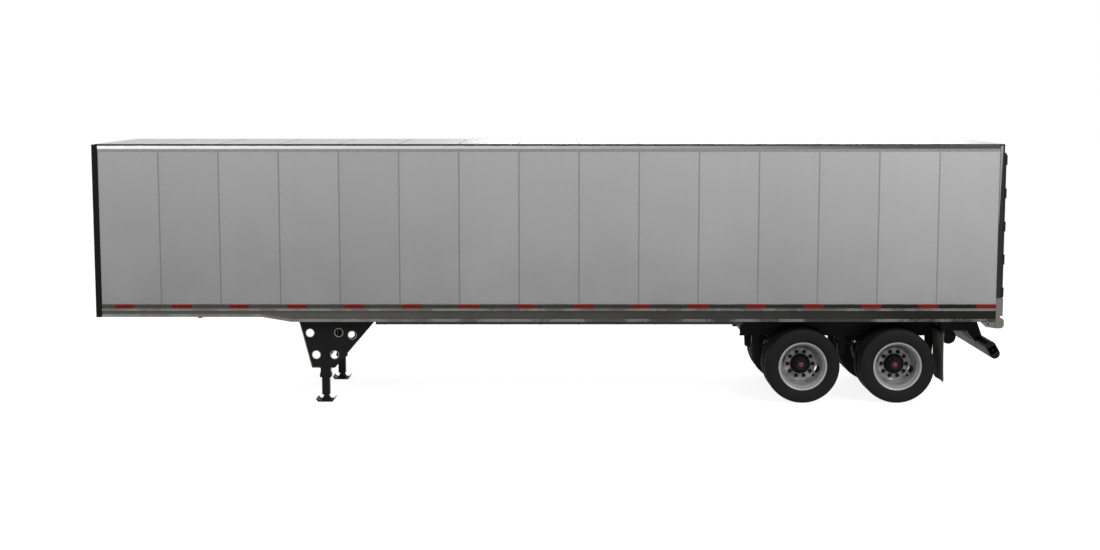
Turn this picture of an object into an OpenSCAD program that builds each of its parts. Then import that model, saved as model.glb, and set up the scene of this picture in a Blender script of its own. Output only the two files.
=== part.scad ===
// Van semi trailer with plate walls, rear swing doors and a sliding tandem bogie.
// X runs from the nose (-X) to the doors (+X), Y across (-Y is the left side), Z up.
// The origin lies on the ground under the middle of the trailer.

/* [Body] */
// Length from the nose to the rear frame
body_l = 13716; // [11000:1:16200]
// Width over the rails
body_w = 2591; // [2440:1:2600]
// Height of the roof above the ground
roof_z = 3962; // [3300:1:4115]
// Height of the top edge of the bottom rails
rail_top_z = 1537; // [1500:1:1600]
// Height of the lower edge of the bottom rails
rail_z = 1265; // [1240:1:1300]
// Height of the lower edge of the shallow nose section of the bottom rails
nose_rail_z = 1340; // [1330:1:1350]
// Distance from the nose to the end of the shallow section
nose_rail_l = 2495; // [2200:1:2600]
// Length of the slope between the shallow and the deep section
rail_slope_l = 440; // [300:1:600]
// Furthest reach of the nose box and of the dock bumpers past the body
end_reach = 62; // [50:1:90]

/* [Walls] */
// Number of plate panels in each side wall
panel_count = 15; // [10:1:18]
// Thickness of the wall plates
wall_t = 12; // [8:1:20]
// Inset of the wall plates behind the outer faces of the rails
panel_inset = 8; // [8:1:10]
// Gap between neighbouring wall plates
panel_gap = 2; // [1:0.5:4]
// Width of the inside splice posts
splice_w = 60; // [40:1:90]
// Thickness of the inside splice posts
splice_t = 8; // [4:1:12]
// Depth of the nose corner posts along the body
corner_post_l = 65; // [50:1:90]
// Depth of the rear door posts along the body
rear_post_l = 65; // [60:1:90]
// Width of the rear door posts across the body
rear_post_w = 70; // [60:1:90]

/* [Floor] */
// Thickness of the floor boards
board_t = 35; // [25:1:45]
// Number of floor boards across the body
board_count = 8; // [6:1:12]
// Height of the floor cross members
cross_h = 102; // [90:1:115]
// Width of the cross members' flanges
cross_w = 57; // [45:1:70]
// Distance between cross members
cross_pitch = 305; // [250:1:410]

/* [Roof] */
// Height of the top rails
top_rail_h = 112; // [90:1:140]
// Thickness of the roof sheet
roof_t = 3; // [2:0.5:6]
// Distance between roof bows
bow_pitch = 610; // [450:1:750]
// Height of a roof bow
bow_h = 28; // [20:1:40]

/* [Coupling] */
// Distance from the nose to the kingpin
kingpin_set = 1280; // [900:1:1400]
// Height of the coupler plate's underside
coupler_z = 1232; // [1200:1:1245]
// Width of the coupler plate
coupler_w = 1000; // [900:1:1100]
// Radius of the kingpin's groove
kingpin_r = 25.4; // [25:0.1:26]
// Depth of the kingpin below the plate
kingpin_h = 84; // [82:1:86]

/* [Landing gear] */
// Distance from the nose to the middle of the legs
leg_set = 3414; // [3000:1:3600]
// Distance of the legs from the middle of the trailer
leg_y = 990; // [900:1:1000]
// Width of the outer leg tube
leg_w = 150; // [130:1:160]
// Width of the inner leg tube
leg_inner_w = 116; // [100:1:120]
// Height of the outer leg tube's lower end
leg_z = 372; // [300:1:450]
// Width of the shoes
shoe_w = 290; // [250:1:320]

/* [Doors] */
// Thickness of a door
door_t = 40; // [30:1:50]
// Number of hinges on a door
hinge_count = 5; // [3:1:6]
// Radius of the hinge pins
hinge_pin_r = 6; // [5:0.5:8]
// Radius of the hinge knuckles
knuckle_r = 11; // [10:0.5:14]
// Distance of the hinge pins behind the outer faces of the doors
hinge_back = 28; // [28:1:34]
// Distance of the hinge pins outside the side of the body
hinge_out = 12; // [12:1:16]
// Radius of the lock rods
lock_rod_r = 12; // [10:1:12]

/* [Tandem] */
// Distance from the rear frame to the middle of the bogie
bogie_set = 2258; // [2200:1:2600]
// Distance between the axles
axle_pitch = 1446; // [1350:1:1500]
// Height of the bogie's rails
bogie_rail_h = 240; // [200:1:260]
// Distance of the bogie's rails from the middle of the trailer
bogie_rail_y = 500; // [460:1:510]
// Travel of the bogie towards the nose
bogie_travel = 1830; // [1200:1:2000]
// Radius of the axle tubes
axle_r = 64; // [55:1:70]
// Radius of the wheel spindles
spindle_r = 45; // [40:1:54]

/* [Wheels] */
// Radius of the tyres
tyre_r = 572; // [477:1:590]
// Width of the tyres
tyre_w = 290; // [260:1:310]
// Radius of the rim flanges
rim_r = 371; // [350:1:380]
// Width of the rims over the flanges
rim_w = 256; // [240:1:260]
// Distance between the two wheels of a pair
dual_pitch = 370; // [350:1:390]
// Distance of the faces where the wheels bolt on from the middle of the trailer
wheel_seat_y = 958; // [940:1:965]
// Radius of the wheel nuts' circle
nut_circle_r = 192; // [185:1:195]
// Number of wheel studs
stud_count = 10; // [8:1:12]

/* [Hidden] */
$fn = 64;

// Places that follow from the sizes above
nose_x = -body_l / 2;
rear_x = body_l / 2;
half_w = body_w / 2;
floor_z = rail_z + 12 + cross_h + board_t;
top_rail_z = roof_z - top_rail_h;
rail_lip_h = 44;
rail_web_inset = 8;
rail_web_t = 5;
rail_flange_inset = 3;
panel_seat_h = 40;
ridge_z = rail_top_z - 105;
ridge_h = 38;
tape_top_z = rail_top_z - 6;
wall_inner = panel_inset + wall_t;
panels_x = nose_x + corner_post_l;
panels_l = body_l - corner_post_l - rear_post_l;
panel_pitch = panels_l / panel_count;
panel_z = rail_top_z - panel_seat_h;
panel_top_z = top_rail_z + panel_seat_h;
slope_x = nose_x + nose_rail_l;
slope_end_x = slope_x + rail_slope_l;
cross_z = floor_z - board_t - cross_h;
boards_y = half_w - rail_web_inset - rail_web_t - 8;
seat_gap = 0.3;

// Rear frame and doors
header_h = 122;
header_l = 90;
header_z = roof_z - header_h;
sill_z = 1163;
boot_top_z = 1628;
post_y = half_w - rear_post_w;
door_gap = 5.5;
door_mid_gap = 6;
door_z = floor_z + 10;
door_top_z = header_z - 6;
door_y = post_y - door_gap;
hinge_x = rear_x + hinge_back;
hinge_y = half_w + hinge_out;
hinge_h = 150;
knuckle_end_h = 35;
knuckle_gap = 3;
hinge_low_z = boot_top_z + 90;
hinge_high_z = door_top_z - 110;
strap_t = 6;
strap_l = 190;
strap_off = 5;
pin_clear = 0.3;
lock_rod_x = rear_x + 17;
lock_rods_y = [270, 900];
cam_w = 40;
keeper_gap = 11;
keeper_t = 8;
keeper_l = 30;

// Landing gear
leg_x = nose_x + leg_set;
gusset_t = 8;
gusset_y = leg_y + leg_w / 2;
gusset_z = 519;
gusset_lip = 36;
// Each row: distance from the leg's middle line, height
gusset_outline = [[-400, cross_z], [800, cross_z], [148, gusset_z], [-206, gusset_z]];
gusset_hole_r = 60;
// Each row: distance from the leg's middle line, height
gusset_holes = [[-226, 1062], [214, 1067], [420, 1027], [-134, 723], [146, 723]];

// Bogie
bogie_x = rear_x - bogie_set;
axles_x = [bogie_x - axle_pitch / 2, bogie_x + axle_pitch / 2];
axle_z = tyre_r;
bogie_half_l = 1610;
body_rail_z = cross_z - 94;
bogie_top_z = body_rail_z - seat_gap;
bogie_z = bogie_top_z - bogie_rail_h;
bogie_rail_w = 90;
spring_w = 76;
spring_leaf_t = 22;
spring_leaves = 3;
spring_r = 2600;
spring_half_l = 640;
spring_seat_h = 44;
spring_z = axle_z + axle_r + spring_seat_h;
spring_top_r = spring_r - spring_leaves * spring_leaf_t;
spring_end_z = spring_z + spring_r - sqrt(pow(spring_top_r, 2) - pow(spring_half_l, 2));
hanger_w = 116;
hanger_t = 12;
equalizer_h = 34;
flap_x = axles_x[1] + tyre_r + 112;
flap_t = 10;
flap_w = 640;
flap_z = 325;
flap_h = 765;
flap_y = half_w - 10 - flap_w / 2;
tank_r = 115;
tank_x = bogie_x + bogie_half_l + tank_r - 20;
tank_z = bogie_z - 42;

// Wheels
disc_t = 22;
flange_seat = 12.3;
stud_r = 12;
nut_r = 21;
disc_bore_r = 152;
drum_r = 226;
drum_w = 200;
hub_r = disc_bore_r - 2;

// A block between two corners
module block(x0, x1, y0, y1, z0, z1) {
    translate([x0, y0, z0])
        cube([x1 - x0, y1 - y0, z1 - z0]);
}

// Draws its children on the right side (1), or mirrored on the left side (-1)
module on_side(side) {
    mirror([0, side > 0 ? 0 : 1, 0])
        children();
}

// Extrudes an outline drawn in X and Z between two distances from the middle plane
module side_plate(y0, y1) {
    translate([0, y1, 0])
        rotate([90, 0, 0])
            linear_extrude(y1 - y0)
                children();
}

// Extrudes an outline drawn in Y and Z along X
module cross_section(x0, x1) {
    translate([x0, 0, 0])
        rotate([90, 0, 90])
            linear_extrude(x1 - x0)
                children();
}

// A shaft along Y
module shaft_y(r, y0, y1) {
    translate([0, y0, 0])
        rotate([-90, 0, 0])
            cylinder(r = r, h = y1 - y0);
}

// A rectangle with round corners, by its corners
module round_rect(x0, x1, z0, z1, r) {
    translate([x0 + r, z0])
        square([x1 - x0 - 2 * r, z1 - z0]);
    translate([x0, z0 + r])
        square([x1 - x0, z1 - z0 - 2 * r]);
    for (x = [x0 + r, x1 - r], z = [z0 + r, z1 - r])
        translate([x, z])
            circle(r);
}

// Points along an arc about a centre, between two angles
function arc_points(centre, r, from, to, steps) =
    [for (i = [0 : steps]) let (a = from + (to - from) * i / steps)
        centre + r * [cos(a), sin(a)]];

// A strip of a given height along the stepped lower edge of a bottom rail
module rail_edge(h) {
    polygon([
        [nose_x + corner_post_l, nose_rail_z], [slope_x, nose_rail_z],
        [slope_end_x, rail_z], [rear_x - rear_post_l, rail_z],
        [rear_x - rear_post_l, rail_z + h], [slope_end_x, rail_z + h],
        [slope_x, nose_rail_z + h], [nose_x + corner_post_l, nose_rail_z + h]
    ]);
}

module floor_boards() {
    board_w = 2 * boards_y / board_count;
    color("burlywood")
        for (i = [0 : board_count - 1])
            block(panels_x, rear_x - header_l, -boards_y + i * board_w + 0.5,
                -boards_y + (i + 1) * board_w - 0.5, floor_z - board_t, floor_z);
}

// An I-section cross member, its middle at x
module cross_member(x) {
    web_t = 6;
    flange_t = 8;
    block(x - cross_w / 2, x + cross_w / 2, -boards_y, boards_y, cross_z, cross_z + flange_t);
    block(x - cross_w / 2, x + cross_w / 2, -boards_y, boards_y,
        cross_z + cross_h - flange_t, cross_z + cross_h);
    block(x - web_t / 2, x + web_t / 2, -boards_y, boards_y, cross_z, cross_z + cross_h);
}

module floor_crossmembers() {
    // One cross member stands over the landing legs
    first_x = leg_x - cross_pitch * floor((leg_x - slope_end_x - cross_w) / cross_pitch);
    last_x = rear_x - header_l - 2 * cross_w;
    count = floor((last_x - first_x) / cross_pitch);
    color("dimgray")
        for (i = [0 : count])
            cross_member(first_x + i * cross_pitch);
}

module bottom_rail(side) {
    y_out = half_w;
    x0 = nose_x + corner_post_l;
    x1 = rear_x - rear_post_l;
    color("dimgray")
        on_side(side) {
            // Web, down to the stepped edge
            side_plate(y_out - rail_web_inset - rail_web_t, y_out - rail_web_inset)
                polygon([
                    [x0, nose_rail_z], [slope_x, nose_rail_z], [slope_end_x, rail_z],
                    [x1, rail_z], [x1, panel_z], [x0, panel_z]
                ]);
            // Lip outside and flange inside along the lower edge
            side_plate(y_out - rail_web_inset, y_out)
                rail_edge(rail_lip_h);
            side_plate(boards_y - 24, y_out - rail_web_inset - rail_web_t)
                rail_edge(8);
            // Ridge below the tape land
            block(x0, x1, y_out - rail_web_inset, y_out, ridge_z, ridge_z + ridge_h);
            // Seat below the wall plates
            block(x0, x1, y_out - wall_inner - 2, y_out - rail_flange_inset,
                panel_z - 12, panel_z);
            // Tape land and its upper rim
            block(x0, x1, y_out - panel_inset, y_out - rail_flange_inset,
                ridge_z + ridge_h, rail_top_z);
            block(x0, x1, y_out - panel_inset, y_out, tape_top_z, rail_top_z);
        }
}

module side_panels(side) {
    color("silver")
        on_side(side)
            for (i = [0 : panel_count - 1])
                block(panels_x + i * panel_pitch + panel_gap / 2,
                    panels_x + (i + 1) * panel_pitch - panel_gap / 2,
                    half_w - wall_inner, half_w - panel_inset, panel_z, panel_top_z);
}

module wall_posts(side) {
    color("gainsboro")
        on_side(side)
            for (i = [1 : panel_count - 1])
                translate([panels_x + i * panel_pitch, 0, 0])
                    block(-splice_w / 2, splice_w / 2, half_w - wall_inner - splice_t,
                        half_w - wall_inner, rail_top_z, top_rail_z);
}

module top_rail(side) {
    crown_r = 26;
    box_w = 60;
    bead_z = top_rail_z + 36;
    x0 = nose_x + corner_post_l;
    x1 = rear_x - header_l;
    color("lightgray")
        on_side(side) {
            cross_section(x0, x1)
                difference() {
                    polygon(concat(
                        // Flange outside the wall plates, with a bead above it
                        [
                            [half_w - panel_inset, top_rail_z],
                            [half_w - rail_flange_inset, top_rail_z],
                            [half_w - rail_flange_inset, bead_z], [half_w, bead_z]
                        ],
                        // Round outer shoulder of the box
                        arc_points([half_w - crown_r, roof_z - crown_r], crown_r, 0, 90, 8),
                        // Rebate for the roof sheet and back of the box
                        [
                            [half_w - 30, roof_z], [half_w - 30, roof_z - roof_t],
                            [half_w - box_w, roof_z - roof_t],
                            [half_w - box_w, panel_top_z], [half_w - panel_inset, panel_top_z]
                        ]
                    ));
                    // Hollow of the box
                    translate([half_w - box_w + 5, panel_top_z + 8])
                        square([box_w - 16, roof_z - panel_top_z - crown_r - 8]);
                }
            // Flange over the rear post
            block(x1, rear_x - rear_post_l, half_w - box_w, half_w - rail_flange_inset,
                panel_top_z, roof_z - crown_r + 6);
        }
}

module roof_sheet() {
    color("white")
        block(nose_x + 12, rear_x - header_l, -half_w + 31, half_w - 31,
            roof_z - roof_t, roof_z);
}

module roof_bows() {
    bow_y = half_w - 60;
    wall = 4;
    first_x = panels_x + bow_pitch / 2;
    count = floor((rear_x - header_l - 80 - first_x) / bow_pitch);
    color("gainsboro")
        for (i = [0 : count])
            translate([first_x + i * bow_pitch, 0, roof_z - roof_t - bow_h]) {
                block(-25, 25, -bow_y, bow_y, bow_h - wall, bow_h);
                for (s = [-1, 1]) {
                    block(s * 25 - wall / 2, s * 25 + wall / 2, -bow_y, bow_y, 0, bow_h);
                    block(min(s * 25, s * 45), max(s * 25, s * 45), -bow_y, bow_y, 0, wall);
                }
            }
}

module front_wall_panels() {
    inner_w = 2 * (half_w - corner_post_l);
    pitch = inner_w / 3;
    color("silver")
        for (i = [0 : 2])
            block(nose_x + panel_inset, nose_x + wall_inner,
                -inner_w / 2 + i * pitch + panel_gap / 2,
                -inner_w / 2 + (i + 1) * pitch - panel_gap / 2,
                nose_rail_z, roof_z - roof_t);
}

module front_wall_posts() {
    post_d = 45;
    span = half_w - corner_post_l;
    x0 = nose_x + wall_inner;
    color("gainsboro") {
        for (i = [0 : 4])
            translate([x0, -span + 20 + i * (2 * span - 80) / 4, 0])
                block(0, post_d, 0, 40, floor_z, roof_z - roof_t - 60);
        // Cross rails that tie the posts at the floor and at the roof
        block(x0, x0 + post_d, -span, span, roof_z - roof_t - 60, roof_z - roof_t);
        block(x0, x0 + post_d, -span, span, nose_rail_z, floor_z);
    }
    // Sill and header strips outside the plates
    color("dimgray") {
        block(nose_x, nose_x + panel_inset, -span, span, nose_rail_z, nose_rail_z + 130);
        block(nose_x, nose_x + panel_inset, -span, span, roof_z - 110, roof_z - roof_t);
    }
}

module front_corner_posts() {
    r = corner_post_l;
    wall = 6;
    color("dimgray")
        for (side = [-1, 1])
            on_side(side)
                translate([nose_x + r, half_w - r, nose_rail_z])
                    difference() {
                        intersection() {
                            cylinder(r = r, h = roof_z - roof_t - nose_rail_z, $fn = 96);
                            translate([-r, 0, 0])
                                cube([r, r, roof_z]);
                        }
                        translate([0, 0, -1])
                            intersection() {
                                cylinder(r = r - wall, h = roof_z, $fn = 96);
                                translate([-r, 0, 0])
                                    cube([r, r, roof_z]);
                            }
                    }
}

// Outline of a fixed hinge arm, its pin at the origin, X towards the rear and Y outwards
module fixed_hinge_arm() {
    polygon([
        [-hinge_back, -hinge_out - 46], [-hinge_back + strap_t, -hinge_out - 46],
        [-hinge_back + strap_t, -knuckle_r], [0, -knuckle_r], [0, 0], [-knuckle_r, 0],
        [-hinge_back, -hinge_out]
    ]);
    circle(knuckle_r);
}

function hinge_z(i) = hinge_low_z + i * (hinge_high_z - hinge_low_z) / (hinge_count - 1);

module rear_post(side) {
    wall = 6;
    color("dimgray")
        on_side(side) {
            difference() {
                block(rear_x - rear_post_l, rear_x, post_y, half_w, boot_top_z, roof_z);
                block(rear_x - rear_post_l + wall, rear_x - wall, post_y + wall,
                    half_w - wall, boot_top_z - 1, roof_z - wall);
            }
            // Two fixed knuckles and the pin of each hinge
            for (i = [0 : hinge_count - 1])
                translate([hinge_x, hinge_y, hinge_z(i) - hinge_h / 2]) {
                    for (z = [0, hinge_h - knuckle_end_h])
                        translate([0, 0, z])
                            linear_extrude(knuckle_end_h)
                                fixed_hinge_arm();
                    cylinder(r = hinge_pin_r, h = hinge_h);
                }
        }
}

// Two cheeks that hold the cam of a lock rod, open to the rear
module lock_keeper(y, z0, z1) {
    inner = cam_w / 2 + keeper_gap;
    for (s = [-1, 1])
        translate([0, y, 0])
            block(rear_x - 1, rear_x + keeper_l, s > 0 ? inner : -inner - keeper_t,
                s > 0 ? inner + keeper_t : -inner, z0, z1);
}

module rear_header() {
    wall = 6;
    color("gray") {
        difference() {
            block(rear_x - header_l, rear_x, -post_y, post_y, header_z, roof_z);
            block(rear_x - header_l + wall, rear_x - wall, -post_y - 1, post_y + 1,
                header_z + wall, roof_z - wall);
        }
        for (side = [-1, 1], y = lock_rods_y)
            lock_keeper(side * y, header_z + 14, header_z + 64);
    }
}

module rear_sill() {
    wall = 8;
    color("silver") {
        // Cross beam
        difference() {
            block(rear_x - header_l, rear_x, -post_y, post_y, sill_z, floor_z);
            block(rear_x - header_l - 1, rear_x - wall, -post_y + wall, post_y - wall,
                sill_z + wall, floor_z - wall);
        }
        for (side = [-1, 1]) {
            // Foot of the door post, reaching back past the frame
            on_side(side) {
                block(rear_x - rear_post_l, rear_x, post_y, half_w, sill_z, boot_top_z);
                block(rear_x, rear_x + 40, post_y + door_gap, half_w, floor_z - 60,
                    boot_top_z);
                // Gusset below the end of the bottom rail
                side_plate(half_w - 22, half_w - 8)
                    difference() {
                        polygon([
                            [rear_x - 300, rail_z], [rear_x - 210, sill_z + 22],
                            [rear_x - rear_post_l, sill_z],
                            [rear_x - rear_post_l, rail_z]
                        ]);
                        translate([rear_x - 180, sill_z + 62])
                            circle(16);
                    }
            }
            for (y = lock_rods_y)
                lock_keeper(side * y, floor_z - 76, floor_z - 26);
        }
    }
}

module dock_bumpers() {
    color("silver")
        for (side = [-1, 1])
            on_side(side)
                side_plate(half_w - 170, half_w)
                    difference() {
                        round_rect(rear_x - 60, rear_x + end_reach, sill_z, sill_z + 160, 55);
                        translate([rear_x - 61, sill_z - 1])
                            square([61, 162]);
                    }
}

module rear_lamps() {
    lamp_z = (sill_z + floor_z) / 2 - 36;
    color("darkred") {
        for (side = [-1, 1], y = [720, 850])
            translate([rear_x, side * y, lamp_z])
                rotate([0, 90, 0])
                    cylinder(r = 54, h = 12);
        for (y = [-160, 0, 160])
            translate([rear_x, y, header_z + header_h / 2])
                block(0, 14, -45, 45, -16, 16);
        for (side = [-1, 1])
            translate([rear_x, side * (post_y - 100), header_z + header_h / 2])
                block(0, 14, -45, 45, -16, 16);
    }
}

module upper_coupler() {
    kx = nose_x + kingpin_set;
    x0 = panels_x + 12;
    plate_t = 12;
    half = coupler_w / 2;
    web_x = [kx - 560, kx, kx + 480, slope_x - 60];
    color("dimgray") {
        // Plate, turned up at the front
        difference() {
            block(x0 + 250, slope_x, -half, half, coupler_z, coupler_z + plate_t);
            translate([kx, 0, coupler_z - 1])
                cylinder(r = 60, h = plate_t + 2);
        }
        side_plate(-half, half)
            polygon([
                [x0, nose_rail_z], [x0 + 250, coupler_z], [x0 + 250, coupler_z + plate_t],
                [x0, nose_rail_z + plate_t]
            ]);
        // Fore and aft webs
        for (y = [-half, -half / 3, half / 3 - 10, half - 10])
            side_plate(y, y + 10)
                polygon([
                    [x0, nose_rail_z], [x0 + 250, coupler_z], [slope_x, coupler_z],
                    [slope_x, floor_z - board_t], [x0, floor_z - board_t]
                ]);
        // Webs across the plate
        for (x = web_x)
            block(x - 5, x + 5, -half, half, x == kx ? coupler_z + 60 : coupler_z,
                floor_z - board_t);
        // Channels across the whole floor
        for (i = [0 : 7])
            translate([x0 + 20 + i * (slope_x - x0 - 80) / 7, 0, 0])
                block(0, 50, -boards_y, boards_y, nose_rail_z + 10, floor_z - board_t);
        // Socket block that carries the kingpin
        translate([kx, 0, coupler_z])
            difference() {
                cylinder(r = 110, h = 60);
                translate([0, 0, -1])
                    cylinder(r = 60, h = 42);
            }
    }
}

module kingpin() {
    color("silver")
        translate([nose_x + kingpin_set, 0, coupler_z]) {
            translate([0, 0, -kingpin_h])
                cylinder(r = 35.7, h = 19);
            translate([0, 0, -kingpin_h + 19])
                cylinder(r = kingpin_r, h = 30);
            translate([0, 0, -kingpin_h + 49])
                cylinder(r = 36.5, h = kingpin_h - 49);
            // Root inside the socket block
            cylinder(r = 59.7, h = 40.7);
        }
}

module nose_service_box() {
    box_w = 420;
    box_z = 1640;
    box_h = 190;
    depth = end_reach;
    color("dimgray")
        difference() {
            block(nose_x - 20, nose_x + panel_inset, -box_w / 2, box_w / 2, box_z,
                box_z + box_h);
            block(nose_x - 21, nose_x - 6, -box_w / 2 + 10, box_w / 2 - 10, box_z + 10,
                box_z + box_h - 10);
        }
    // Two air couplings and the lighting socket
    color("silver") {
        for (y = [-135, 135])
            translate([nose_x - 6, y, box_z + box_h / 2]) {
                rotate([0, -90, 0])
                    cylinder(r = 14, h = 20);
                translate([-34, 0, 0])
                    block(-22, 14, -30, 30, -38, 38);
            }
        translate([nose_x - 6, 0, box_z + box_h / 2])
            rotate([0, -90, 0])
                difference() {
                    cylinder(r = 32, h = depth - 12);
                    translate([0, 0, 10])
                        cylinder(r = 25, h = depth);
                }
    }
}

module landing_leg(side) {
    collar_h = 60;
    shoe_t = 14;
    bore = leg_inner_w + 2 * seat_gap;
    color("#222222")
        on_side(side)
            translate([leg_x, leg_y, 0]) {
                // Outer tube and its collar
                difference() {
                    union() {
                        block(-leg_w / 2, leg_w / 2, -leg_w / 2, leg_w / 2, leg_z, cross_z);
                        block(-leg_w / 2 - 12, leg_w / 2 + 12, -leg_w / 2, leg_w / 2 - 1,
                            leg_z, leg_z + collar_h);
                    }
                    block(-bore / 2, bore / 2, -bore / 2, bore / 2, leg_z - 1, cross_z - 20);
                }
                // Inner tube with the ears of the shoe's pin
                block(-leg_inner_w / 2, leg_inner_w / 2, -leg_inner_w / 2,
                    leg_inner_w / 2, 96, leg_z + 420);
                block(-30, 30, -leg_inner_w / 2, leg_inner_w / 2, 40, 96);
                // Shoe: dished plate and two cheeks on the pin
                side_plate(-shoe_w / 2, shoe_w / 2)
                    polygon([
                        [-shoe_w / 2 + 34, 0], [shoe_w / 2 - 34, 0], [shoe_w / 2, 44],
                        [shoe_w / 2 - 8, 50], [shoe_w / 2 - 42, shoe_t],
                        [-shoe_w / 2 + 42, shoe_t], [-shoe_w / 2 + 8, 50],
                        [-shoe_w / 2, 44]
                    ]);
                for (y = [-leg_inner_w / 2 - 13, leg_inner_w / 2 + 1])
                    side_plate(y, y + 12)
                        polygon([[-70, shoe_t], [70, shoe_t], [28, 92], [-28, 92]]);
                translate([0, 0, 68])
                    shaft_y(16, -leg_inner_w / 2 - 22, leg_inner_w / 2 + 22);
            }
}

module landing_gusset(side) {
    color("#222222")
        on_side(side)
            translate([leg_x, 0, 0]) {
                side_plate(gusset_y, gusset_y + gusset_t)
                    difference() {
                        polygon(gusset_outline);
                        for (h = gusset_holes)
                            translate(h)
                                circle(gusset_hole_r);
                    }
                // Rims turned inwards along the front and lower edges
                side_plate(gusset_y - gusset_lip, gusset_y)
                    polygon([
                        gusset_outline[0], gusset_outline[0] + [gusset_t, 0],
                        gusset_outline[3] + [gusset_t, 0], gusset_outline[3]
                    ]);
                for (x = [[gusset_outline[3].x, -leg_w / 2 - 14],
                    [leg_w / 2 + 14, gusset_outline[2].x - 10]])
                    block(x[0], x[1], gusset_y - gusset_lip, gusset_y, gusset_z,
                        gusset_z + gusset_t);
            }
}

module landing_gear_brace() {
    y = leg_y - leg_w / 2;
    tube = 60;
    brace_z = 640;
    color("#222222")
        translate([leg_x, 0, 0]) {
            block(-tube / 2, tube / 2, -y, y, brace_z, brace_z + tube);
            // Knee braces up to the cross members
            for (side = [-1, 1])
                on_side(side)
                    cross_section(-20, 20)
                        polygon([
                            [120, brace_z + tube], [200, brace_z + tube],
                            [620, cross_z], [540, cross_z]
                        ]);
        }
}

module landing_gear_crank() {
    y = leg_y - leg_w / 2;
    shaft_z = 1110;
    shaft_x = -50;
    r = 14;
    color("#222222")
        translate([leg_x + shaft_x, 0, shaft_z]) {
            // Cross shaft and the gearbox on the left leg
            shaft_y(r, -y, y);
            block(-20, 110, -y, -y + 90, -70, 70);
            // Crank folded down beside the gearbox
            translate([0, -y + 120, 0])
                block(-16, 16, -10, 10, -250, 16);
            translate([0, -y + 110, -240])
                shaft_y(12, 0, 130);
        }
}

module slider_body_rails() {
    w = bogie_rail_w + 20;
    wall = 8;
    hole_pitch = 152;
    x0 = bogie_x - bogie_half_l - bogie_travel;
    x1 = bogie_x + bogie_half_l + 40;
    hole_count = floor((x1 - x0 - 200) / hole_pitch);
    color("dimgray")
        for (side = [-1, 1])
            on_side(side)
                difference() {
                    block(x0, x1, bogie_rail_y - w / 2, bogie_rail_y + w / 2, body_rail_z,
                        cross_z);
                    block(x0 - 1, x1 + 1, bogie_rail_y - w / 2 - 1,
                        bogie_rail_y + w / 2 - wall, body_rail_z + wall, cross_z - wall);
                    for (i = [0 : hole_count])
                        translate([x0 + 100 + i * hole_pitch, 0,
                            (body_rail_z + cross_z) / 2])
                            shaft_y(19, bogie_rail_y, bogie_rail_y + w);
                }
}

module underride_guard() {
    bar_r = 78;
    low = [rear_x - 50, 768];
    high = [rear_x - 113, 880];
    reach = norm(high - low);
    lean = atan2(high.y - low.y, high.x - low.x);
    bar_y = half_w - 45;
    strut_y = 520;
    color("#1a1a1a") {
        side_plate(-bar_y, bar_y)
            difference() {
                polygon(concat(
                    arc_points(high, bar_r, lean - 90, lean + 90, 16),
                    arc_points(low, bar_r, lean + 90, lean + 270, 16)
                ));
                // Hollow of the bar
                translate(low)
                    rotate(lean)
                        translate([10, -bar_r + 14])
                            square([reach - 20, 2 * bar_r - 28]);
            }
        // Struts from the floor frame down to the bar
        for (side = [-1, 1])
            on_side(side)
                side_plate(strut_y, strut_y + 90)
                    polygon([
                        [rear_x - 460, cross_z], [rear_x - 210, cross_z],
                        [rear_x - 90, 955], [rear_x - 170, 830], [rear_x - 300, 985]
                    ]);
    }
}

module rear_door(side) {
    color("silver")
        on_side(side)
            block(rear_x - door_t, rear_x, door_mid_gap, door_y, door_z, door_top_z);
}

// Straps on the door's outer face, each ending in a knuckle between two fixed ones
module door_hinges(side) {
    mid_h = hinge_h - 2 * knuckle_end_h - 2 * knuckle_gap;
    color("dimgray")
        on_side(side)
            for (i = [0 : hinge_count - 1])
                translate([hinge_x, hinge_y, hinge_z(i) - mid_h / 2])
                    difference() {
                        linear_extrude(mid_h) {
                            // Pad on the door, strap, arm and knuckle
                            translate([-hinge_back, door_y - hinge_y - strap_l])
                                square([strap_off + 1, strap_l - 4]);
                            translate([-hinge_back + strap_off, door_y - hinge_y - strap_l])
                                square([strap_t, hinge_y - door_y + strap_l - knuckle_r + 4]);
                            polygon([
                                [-hinge_back + strap_off, -knuckle_r - 8],
                                [-hinge_back + strap_off, -knuckle_r + 4],
                                [-knuckle_r + 3, 4], [0, 0], [2, -knuckle_r + 1]
                            ]);
                            circle(knuckle_r);
                        }
                        translate([0, 0, -1])
                            cylinder(r = hinge_pin_r + pin_clear, h = mid_h + 2);
                    }
}

module lock_rods(side) {
    rod_z = floor_z - 70;
    rod_top = header_z + 58;
    handle_z = 1900;
    guides = [0.06, 0.35, 0.65, 0.94];
    color("silver")
        on_side(side)
            for (y = lock_rods_y) {
                translate([lock_rod_x, y, rod_z])
                    cylinder(r = lock_rod_r, h = rod_top - rod_z);
                // Cams at both ends
                for (z = [rod_z, rod_top - 36])
                    translate([lock_rod_x, y, z])
                        block(-11, 13, -cam_w / 2, cam_w / 2, 0, 36);
                // Guides that hold the rod to the door
                for (g = guides)
                    translate([0, y, door_z + g * (door_top_z - door_z)])
                        block(rear_x, lock_rod_x + 13, -34, 34, -22, 22);
                // Handle folded against its catch
                translate([0, y, handle_z])
                    block(rear_x + 16, rear_x + 28, -12, y > 600 ? 12 : 380, -14, 14);
                translate([0, y + (y > 600 ? 0 : 330), handle_z])
                    block(rear_x, rear_x + 16, -22, 22, -24, 24);
            }
}

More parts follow.
